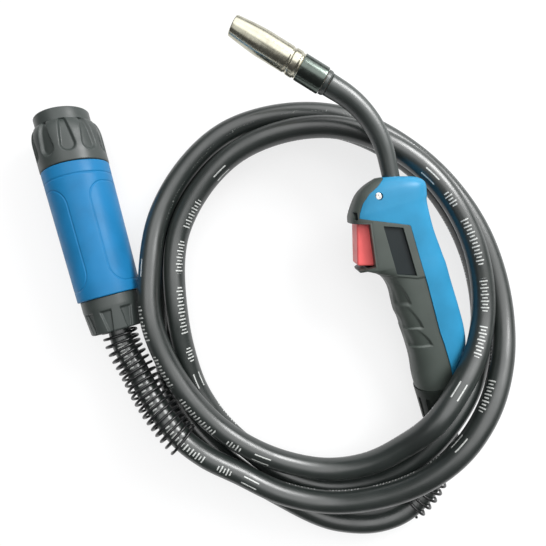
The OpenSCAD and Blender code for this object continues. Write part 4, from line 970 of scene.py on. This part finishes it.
class TORCH_OT_cable(bpy.types.Operator):
    """Lays the cable along its route, with its printed marks"""
    bl_idname = "torch.cable"
    bl_label = "Cable"

    def execute(self, context):
        s = settings("torch_cable")
        whole = even_path(smooth_path(route(), KNOT_STEP), CABLE_STEP)
        start = int(round((CABLE_IN_HANDLE + TAIL_LENGTH - CABLE_START) / CABLE_STEP))
        path = whole[start:-1]
        rubber = cable_finish(tuple(s.jacket), tuple(s.marks), s.print_pitch)
        piece = solid("cable_run", tube_points(path, s.radius / MM, CABLE_SIDES),
                      grid_faces(len(path), CABLE_SIDES, wrap_columns=True), rubber,
                      end_caps(len(path), CABLE_SIDES))
        along = travelled(path) * MM
        angle = np.linspace(0, 360, CABLE_SIDES + 1)[None, :]
        knots = np.array(PRINT_TURN, float)
        turn = np.interp(along / MM, knots[:, 0], knots[:, 1])[:, None]
        around = np.radians((angle - turn + 180) % 360 - 180) * s.radius
        jump = np.abs(np.diff(around, axis=1)) > s.radius
        around[:, 1:][jump] = around[:, :-1][jump]
        lay_map(piece, len(path), CABLE_SIDES, along - PRINT_START * MM, around)
        carry(piece, "torch", "cable_black", "cable")
        return {"FINISHED"}


class TORCH_OT_springs(bpy.types.Operator):
    """Winds the two bend reliefs round the cable"""
    bl_idname = "torch.springs"
    bl_label = "Bend springs"

    def execute(self, context):
        s = settings("torch_springs")
        paint = tuple(s.paint)
        f = Finish("spring_paint", paint, 0.3, specular=0.5)
        worn = f.ranged(f.noise(500, 4), 0.62, 0.75, 0.0, 0.5)
        f.tint(f.mixed(worn, paint, colour(96, 94, 90)))
        f.bump(f.noise(1800, 2), 0.08)
        # The route's first three knots are inside the handle, and its last three in the connector
        knots = route()
        inside = smooth_path(knots[:3], SPRING_CHORD)
        outside = smooth_path(knots[:11], SPRING_CHORD)[len(inside) - 1:]
        rear = even_path(np.vstack([on_torch([[0, SPRING_RUN_ON, 0]]), outside]), SPRING_STEP)
        whole = smooth_path(knots, SPRING_CHORD)
        nose = smooth_path(knots[-3:], SPRING_CHORD)
        whole = whole[:len(whole) - len(nose) + 1]
        front = even_path(np.vstack([whole[-90:], on_connector([[0, SPRING_RUN_ON, 0]])]),
                          SPRING_STEP)
        turns, pitch = SPRING_TURNS["connector"]
        start = travelled(front)[-1] - CONNECTOR_SPRING_GAP - turns * pitch
        radius = s.wire_radius / MM
        for end, axis, first, reach in (
                ("handle", rear, HANDLE_SPRING_START, s.handle_radius),
                ("connector", front, start, s.connector_radius)):
            line = coil_line(axis, first, *SPRING_TURNS[end], reach / MM - radius)
            piece = wire(end + "_bend_spring", line, radius, f.material)
            carry(piece, "torch", "spring_black", end + "_spring")
        return {"FINISHED"}


class TORCH_OT_handle(bpy.types.Operator):
    """Builds the two-tone handle: blue cover, grip shells, the bay's walls and the sunk plates"""
    bl_idname = "torch.handle"
    bl_label = "Handle"

    def execute(self, context):
        s = settings("torch_handle")
        blue = moulded("cover_blue", tuple(s.cover), 0.38, bump=0.06, specular=0.25, wear=0.03)
        grey = moulded("grip_grey", tuple(s.grip), 0.48, bump=0.16, specular=0.8, wear=0.05)
        dark = moulded("panel_dark", tuple(s.panel), 0.5, bump=0.1)
        points, triangles = cut_handle(no_relief, True)
        cover = outward(solid("cover_shell", on_torch(points), triangles, blue))
        carry(walled(cover, WALL, EDGE_BEVEL), "torch", "cover_blue", "back_cover")
        for half, name, node in ((1, "grip_right", "shell_right"), (-1, "grip_left", "shell_left")):
            points, triangles = cut_handle(grip_relief, False, half)
            shell = outward(solid(name, on_torch(points), triangles, grey))
            carry(walled(shell, WALL, EDGE_BEVEL), "torch", "grip_grey", node)
            points, faces = bay_walls(half)
            wall = solid(name + "_bay", on_torch(points), faces, grey, smooth=False)
            carry(walled(wall, BAY_WALL), "torch", "grip_grey")
            for part, corners, height, spread in (
                    ("_panel", PANEL, HALF_THICKNESS - PANEL_DEPTH, 1.04),
                    ("_slot", SLOT_BACK, SLOT_FLOOR, 1.03)):
                points, faces = panel_plate(half, corners, height, spread)
                plate = solid(name + part, on_torch(points), faces, dark)
                carry(walled(plate, PLATE_WALL), "torch", "grip_grey")
        tail = moulded("tail_grey", scaled(tuple(s.grip), 0.5), 0.46, bump=0.14)
        finish_node(tail, "tail_ferrule")
        return {"FINISHED"}


class TORCH_OT_trigger(bpy.types.Operator):
    """Finishes the trigger, its switch, the screws and the small steel pieces"""
    bl_idname = "torch.trigger"
    bl_label = "Trigger and screws"

    def execute(self, context):
        s = settings("torch_handle")
        red = moulded("trigger_red", tuple(s.trigger), 0.36, bump=0.05)
        finish_node(red, "trigger", "switch_plunger")
        bright = metal("bright_screw", colour(226, 226, 224), 0.16, stain=0.05)
        finish_node(bright, "head_screw")
        steel = metal("plain_steel", colour(150, 152, 154), 0.3)
        finish_node(steel, "shell_screws", "trigger_pin", "trigger_spring", "nozzle_clip",
                    "housing_screws", "nut_clip", "wire_liner", "contact_spring_a",
                    "contact_spring_b")
        black = moulded("switch_black", colour(34, 36, 37), 0.5)
        finish_node(black, "micro_switch", "trigger_leads")
        return {"FINISHED"}


class TORCH_OT_neck(bpy.types.Operator):
    """Builds the neck's jacket and finishes the copper, brass and insulating pieces"""
    bl_idname = "torch.neck"
    bl_label = "Neck"

    def execute(self, context):
        s = settings("torch_nozzle")
        rubber = moulded("neck_rubber", tuple(s.jacket), 0.36, bump=0.06, specular=0.9)
        rise = HEAD_Y + NECK_FOOT
        below, round_it, beyond = JACKET_ROWS
        y = np.linspace(JACKET_Y, rise, below)
        straight = np.stack([0 * y, y, 0 * y], 1)
        a = np.radians(np.linspace(0, BEND_ANGLE, round_it))[1:]
        bend = np.stack([BEND_RADIUS * (np.cos(a) - 1), rise + BEND_RADIUS * np.sin(a), 0 * a], 1)
        ahead = np.linspace(0, NECK_END - JACKET_SHORT, beyond)[1:]
        end = bend[-1] + ahead[:, None] * np.array([-sind(BEND_ANGLE), cosd(BEND_ANGLE), 0])
        line = np.vstack([straight, bend, end])
        t = travelled(line)
        thin, wide = JACKET_RADII
        radius = np.interp(t, [0, HEAD_Y - JACKET_Y, t[-1]], [thin, thin, wide])
        sides, count = JACKET_SIDES, len(line)
        outer = tube_points(on_torch(line), radius[:, None], sides)
        inner = tube_points(on_torch(line), JACKET_BORE, sides)
        faces = grid_faces(count, sides, wrap_columns=True)
        j = np.arange(sides)
        k = (j + 1) % sides
        rims = [np.stack([row * sides + j, row * sides + k, (count + row) * sides + k,
                          (count + row) * sides + j], 1) for row in (0, count - 1)]
        piece = outward(solid("neck_sleeve", np.vstack([outer, inner]),
                              np.vstack([faces, faces + count * sides] + rims), rubber))
        carry(piece, "torch", "jacket_black", "neck_jacket")
        finish_node(rubber, "neck_collar")
        copper = metal("bare_copper", colour(190, 122, 82), 0.3, stain=0.5,
                       stain_colour=colour(96, 58, 40))
        finish_node(copper, "neck_tube", "cable_ferrule", "contact_tip")
        brass = metal("turned_brass", colour(202, 168, 92), 0.28, stain=0.3,
                      stain_colour=colour(120, 92, 50))
        finish_node(brass, "neck_block", "tip_holder", "connector_body", "main_pin", "liner_nut",
                    "contact_pin_a", "contact_pin_b")
        white = moulded("insulator_white", colour(222, 217, 204), 0.55)
        finish_node(white, "neck_insulator", "insulator_disc")
        finish_node(moulded("seal_rubber", colour(22, 23, 24), 0.35), "o_rings")
        return {"FINISHED"}


def nozzle_profile():
    """Radius and height of the gas nozzle, outside from the rear and back along its bore."""
    r, groove, barrel = NOZZLE_RADIUS, NOZZLE_RADIUS - 0.9, NOZZLE_RADIUS - 0.3
    band, body, taper = NOZZLE_BAND, NOZZLE_BAND + 9, NOZZLE_LENGTH - NOZZLE_TAPER
    curve = [(barrel + (MOUTH_RADIUS - barrel) * t ** 1.35, taper + (NOZZLE_TAPER - 0.5) * t)
             for t in np.linspace(0, 1, 9)]
    return [(NOZZLE_BORE, 0.5), (r - 0.5, 0.5), (r, 1.1), (r, band - 0.5), (r - 0.5, band),
            (groove, band + 0.3), (groove, band + 1.3), (r - 0.5, band + 1.7),
            (r - 0.1, band + 2.6), (r - 0.1, body - 2.4), (r - 0.5, body - 1.6),
            (groove, body - 1.2), (groove, body - 0.2), (barrel, body + 0.4), *curve,
            (MOUTH_RADIUS - 0.4, NOZZLE_LENGTH), (MOUTH_RADIUS - 1.6, NOZZLE_LENGTH),
            (NOZZLE_BORE - 0.3, taper - 1), (NOZZLE_BORE, taper - 3)]


class TORCH_OT_nozzle(bpy.types.Operator):
    """Turns the plated gas nozzle"""
    bl_idname = "torch.nozzle"
    bl_label = "Gas nozzle"

    def execute(self, context):
        s = settings("torch_nozzle")
        plated = metal("nickel_plate", tuple(s.plating), 0.23, grain=700, stain=0.4, bump=0.03,
                       stain_colour=colour(128, 114, 96))
        # The second, darker nickel is painted dark reflection for the rear band.
        dark_reflection_nickel = metal("nickel_painted_reflection", tuple(s.foot), 0.2, grain=700, stain=0.3, bump=0.03)
        columns, step, bevel = 128, 1.5, 0.2
        piece = turned("gas_nozzle_turned", nozzle_profile(), plated, on_neck, columns, step, bevel)
        piece.data.materials.append(dark_reflection_nickel)
        # The rear band takes the darker nickel, which is painted dark reflection.
        ring = fine_profile(nozzle_profile(), step, bevel)
        foot = (ring[:, 1] < NOZZLE_BAND - 0.4) & (ring[:, 0] > NOZZLE_RADIUS - 1)
        piece.data.polygons.foreach_set("material_index", np.repeat(foot, columns).astype(np.int32))
        carry(piece, "nozzle", "nickel", "gas_nozzle")
        return {"FINISHED"}


def flutes(angle, y, count, first, wide_y, thin_y, wide, thin):
    """Angle from the nearest flute's middle, and the flute's half width, which goes straight from
    wide to thin between its two ends."""
    t = np.clip((y - wide_y) / (thin_y - wide_y), 0, 1)
    step = 2 * np.pi / count
    across = np.abs((angle - first + step / 2) % step - step / 2)
    return across, wide + (thin - wide) * t


class TORCH_OT_connector(bpy.types.Operator):
    """Builds the connector's housing, its fluted nut and its rear collar"""
    bl_idname = "torch.connector"
    bl_label = "Connector"

    def execute(self, context):
        s = settings("torch_connector")
        blue = moulded("housing_blue", tuple(s.housing), 0.42, bump=0.08, specular=0.22, wear=0.03)
        grey = moulded("fitting_grey", tuple(s.fitting), 0.4, bump=0.12, specular=0.5, wear=0.06)
        depth = s.flute_depth / MM

        def nut_relief(angle, y, r):
            wide, thin, radius = NUT_FLUTE
            across, half = flutes(angle, y, s.nut_flutes, math.pi / s.nut_flutes, NUT_FLUTE_Y,
                                  NOSE_Y + 1, wide, thin)
            behind = np.maximum(NUT_FLUTE_Y - y, 0) / wide * half
            away = np.hypot(across * radius, behind) - half
            cut = (r > FLUTED_OVER_RADIUS) * (y < NOSE_Y + 0.2)
            return depth * (1 - ease(-1.8, 0.2, away)) * cut

        def collar_relief(angle, y, r):
            wide, thin, radius = COLLAR_FLUTE
            across, half = flutes(angle, y, s.collar_flutes, math.radians(COLLAR_FLUTE_TURN),
                                  COLLAR_FLUTE_Y, 0, wide, thin)
            away = np.maximum(across * radius - half, y - COLLAR_FLUTE_Y)
            return COLLAR_FLUTE_DEPTH * (1 - ease(-0.9, 0.1, away)) * (r > FLUTED_OVER_RADIUS)

        def housing_relief(angle, y, r):
            step = 2 * math.pi / 3
            turned_by = angle - math.radians(HOUSING_PANEL_TURN)
            across = np.abs((turned_by + step / 2) % step - step / 2) * HOUSING_PANEL_RADIUS
            middle = HOUSING_Y + HOUSING_PANEL_MARGIN + HOUSING_PANEL_LENGTH / 2
            corner = HOUSING_PANEL_CORNER
            away = np.hypot(
                np.maximum(across - (HOUSING_PANEL_WIDTH / 2 - corner), 0),
                np.maximum(np.abs(y - middle) - (HOUSING_PANEL_LENGTH / 2 - corner), 0)) - corner
            groove = HOUSING_PANEL_DEPTH * (1 - ease(0.15, 0.6, np.abs(away)))
            seam = HOUSING_SEAM_DEPTH * (1 - ease(0.25, 0.7, np.abs(y - HOUSING_SEAM_Y)))
            return np.maximum(groove, seam) * (r > HOUSING_REAR_RADIUS - 1)

        side = NUT_RADIUS - NOSE_RADIUS
        shoulder = [(NOSE_RADIUS + side * math.cos(k * math.pi / 16),
                     NOSE_Y - 13 * (1 - math.sin(k * math.pi / 16))) for k in range(9)]
        nut = [(NUT_SEAT_RADIUS, NUT_Y), (NUT_RADIUS - 0.6, NUT_Y), (NUT_RADIUS, NUT_Y + 0.6),
               *shoulder, (NOSE_RADIUS, NOSE_Y + 0.3), (NOSE_RADIUS, CONNECTOR_LENGTH - 1),
               (NOSE_RADIUS - 0.9, CONNECTOR_LENGTH), (NUT_BORE_RADIUS, CONNECTOR_LENGTH),
               (NUT_BORE_RADIUS, NUT_Y + 13), (NUT_CLIP_RADIUS, NUT_Y + 11),
               (NUT_CLIP_RADIUS, NUT_Y + 4.5), (NUT_SEAT_RADIUS, NUT_Y + 4.5)]
        end = COLLAR_LENGTH + 9
        spigot = HOUSING_BORE_RADIUS - 0.3
        collar = [(CABLE_BORE_RADIUS, SPRING_SEAT_Y), (SPRING_BORE_RADIUS, SPRING_SEAT_Y),
                  (SPRING_BORE_RADIUS, 0), (COLLAR_REAR_RADIUS - 1, 0), (COLLAR_REAR_RADIUS, 1),
                  (COLLAR_RADIUS, COLLAR_BAND_Y), (COLLAR_RADIUS, COLLAR_LENGTH),
                  (spigot, COLLAR_LENGTH), (spigot, end), (CABLE_BORE_RADIUS, end)]
        end = NUT_Y - 0.3
        bore = HOUSING_BORE_RADIUS
        housing = [(bore, HOUSING_Y), (HOUSING_REAR_RADIUS - HOUSING_EDGE, HOUSING_Y),
                   (HOUSING_REAR_RADIUS, HOUSING_Y + HOUSING_EDGE),
                   (HOUSING_FRONT_RADIUS, end - 0.5), (HOUSING_FRONT_RADIUS - 0.4, end),
                   (bore, end)]
        for name, profile, material, step, bevel, relief, body, slot, node in (
                ("hand_nut_fluted", nut, grey, 0.9, 0.3, nut_relief,
                 "nut", "fitting_grey", "hand_nut"),
                ("rear_collar_fluted", collar, grey, 0.6, 0.25, collar_relief,
                 "torch", "fitting_grey", "rear_collar"),
                ("housing_shell", housing, blue, 0.5, 0.25, housing_relief,
                 "torch", "cover_blue", "connector_housing")):
            piece = turned(name, profile, material, on_connector, CONNECTOR_COLUMNS, step, bevel,
                           relief)
            carry(piece, body, slot, node)
        return {"FINISHED"}


# Share of the floor that glows where a camera or a glossy ray sees it, and half its side in mm
FLOOR_GLOW = 0.78
FLOOR_REACH = 1600.0
# The soft light overhead: where it comes from, and its levels by the cosine to there, from 0 to 1
SKY_FROM = (0.25, 0.48, 0.84)
SKY_ENDS = (0.04, 0.7)
SKY_LEVELS = ((0.5, 0.07), (0.68, 0.14), (0.80, 0.9), (0.955, 1.0), (0.978, 0.8))
# The lamps: name, place, size in metres and share of the lamp setting
LAMPS = (("key", (0.48, 0.5, 0.55), 0.35, 1.0), ("fill", (-0.5, -0.1, 0.9), 0.5, 0.1))
LAMP_AIM = (-0.02, 0.06, 0.02)
# The camera: place over the floor in metres, sensor in millimetres, and the focal length and the
# frame's width in pixels
CAMERA_AT = (-0.0629, 0.0152)
SENSOR = 36
FOCAL_PIXELS = 470.0
FRAME_PIXELS = 546.0


class TORCH_OT_stage(bpy.types.Operator):
    """Sets the floor, the lamps, the world and the camera"""
    bl_idname = "torch.stage"
    bl_label = "Stage"

    def execute(self, context):
        s = settings("torch_stage")
        scene = context.scene
        f = Finish("stage_floor", tuple(s.floor), 0.9, specular=0.1)
        glow = f.node("ShaderNodeEmission", Color=(1, 1, 1, 1), Strength=1.0)
        ray = f.node("ShaderNodeLightPath")
        seen = f.maths("MAXIMUM", ray.outputs["Is Camera Ray"], ray.outputs["Is Glossy Ray"])
        mix = f.node("ShaderNodeMixShader")
        f.link(f.maths("MULTIPLY", seen, FLOOR_GLOW), mix.inputs[0])
        f.link(f.shader.outputs[0], mix.inputs[1])
        f.link(glow.outputs[0], mix.inputs[2])
        f.link(mix.outputs[0], f.tree.nodes["Material Output"].inputs["Surface"])
        far = FLOOR_REACH
        corners = [(-far, -far, 0), (far, -far, 0), (far, far, 0), (-far, far, 0)]
        floor = solid("stage_floor", corners, [(0, 1, 2, 3)], f.material, smooth=False)
        world = bpy.data.worlds.new("studio")
        scene.world = world
        world.use_nodes = True
        w = Wiring(world.node_tree)
        back = w.tree.nodes["Background"]
        back.inputs["Color"].default_value = (1, 1, 1, 1)
        towards = w.node("ShaderNodeVectorMath", operation="DOT_PRODUCT")
        towards.inputs[1].default_value = SKY_FROM
        w.link(w.node("ShaderNodeTexCoord").outputs["Generated"], towards.inputs[0])
        sky = w.node("ShaderNodeValToRGB")
        ramp = sky.color_ramp.elements
        for element, shine in zip(ramp, SKY_ENDS):
            element.color = (shine, shine, shine, 1)
        for at, shine in SKY_LEVELS:
            ramp.new(at).color = (shine, shine, shine, 1)
        w.link(towards.outputs["Value"], sky.inputs["Fac"])
        strength = w.node("ShaderNodeMapRange", **{"To Max": 1.0})
        w.link(w.node("ShaderNodeLightPath").outputs["Is Camera Ray"], strength.inputs["Value"])
        w.link(w.maths("MULTIPLY", sky.outputs["Color"], s.sky), strength.inputs["To Min"])
        w.link(strength.outputs["Result"], back.inputs["Strength"])
        for name, place, size, share in LAMPS:
            light = bpy.data.lights.new(name, "AREA")
            light.energy = s.lamp * share
            light.size = size
            lamp = bpy.data.objects.new(name, light)
            scene.collection.objects.link(lamp)
            lamp.location = place
            direction = np.array(LAMP_AIM) - np.array(place)
            yaw = math.atan2(direction[0], -direction[1])
            pitch = math.acos(-direction[2] / np.linalg.norm(direction))
            lamp.rotation_euler = (pitch, 0, yaw + math.pi)
        data = bpy.data.cameras.new("photo_camera")
        data.sensor_width = SENSOR
        data.lens = FOCAL_PIXELS / FRAME_PIXELS * SENSOR
        camera = bpy.data.objects.new("photo_camera", data)
        scene.collection.objects.link(camera)
        camera.location = (*CAMERA_AT, s.camera_height)
        scene.camera = camera
        scene.view_settings.view_transform = "Standard"
        return {"FINISHED"}


class TORCH_PT_panel(bpy.types.Panel):
    """Lists the torch's pieces and their settings"""
    bl_idname = "TORCH_PT_panel"
    bl_label = "Welding torch"
    bl_space_type = "VIEW_3D"
    bl_region_type = "UI"
    bl_category = "Torch"

    def draw(self, context):
        for name, group in SETTINGS.items():
            box = self.layout.box()
            for key in group.__annotations__:
                box.prop(settings(name), key)
        for operator in STEPS:
            self.layout.operator(operator.bl_idname)


STEPS = (TORCH_OT_stage, TORCH_OT_springs, TORCH_OT_connector, TORCH_OT_cable, TORCH_OT_handle,
         TORCH_OT_trigger, TORCH_OT_neck, TORCH_OT_nozzle)
CLASSES = tuple(SETTINGS.values()) + STEPS + (TORCH_PT_panel,)


def register():
    for item in CLASSES:
        bpy.utils.register_class(item)
    for name, group in SETTINGS.items():
        setattr(bpy.types.Scene, name, bpy.props.PointerProperty(type=group))


def unregister():
    for name in SETTINGS:
        delattr(bpy.types.Scene, name)
    for item in reversed(CLASSES):
        bpy.utils.unregister_class(item)


def main():
    """Registers the add-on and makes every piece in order."""
    register()
    for step in STEPS:
        group, name = step.bl_idname.split(".")
        getattr(getattr(bpy.ops, group), name)()


if __name__ == "__main__":
    main()
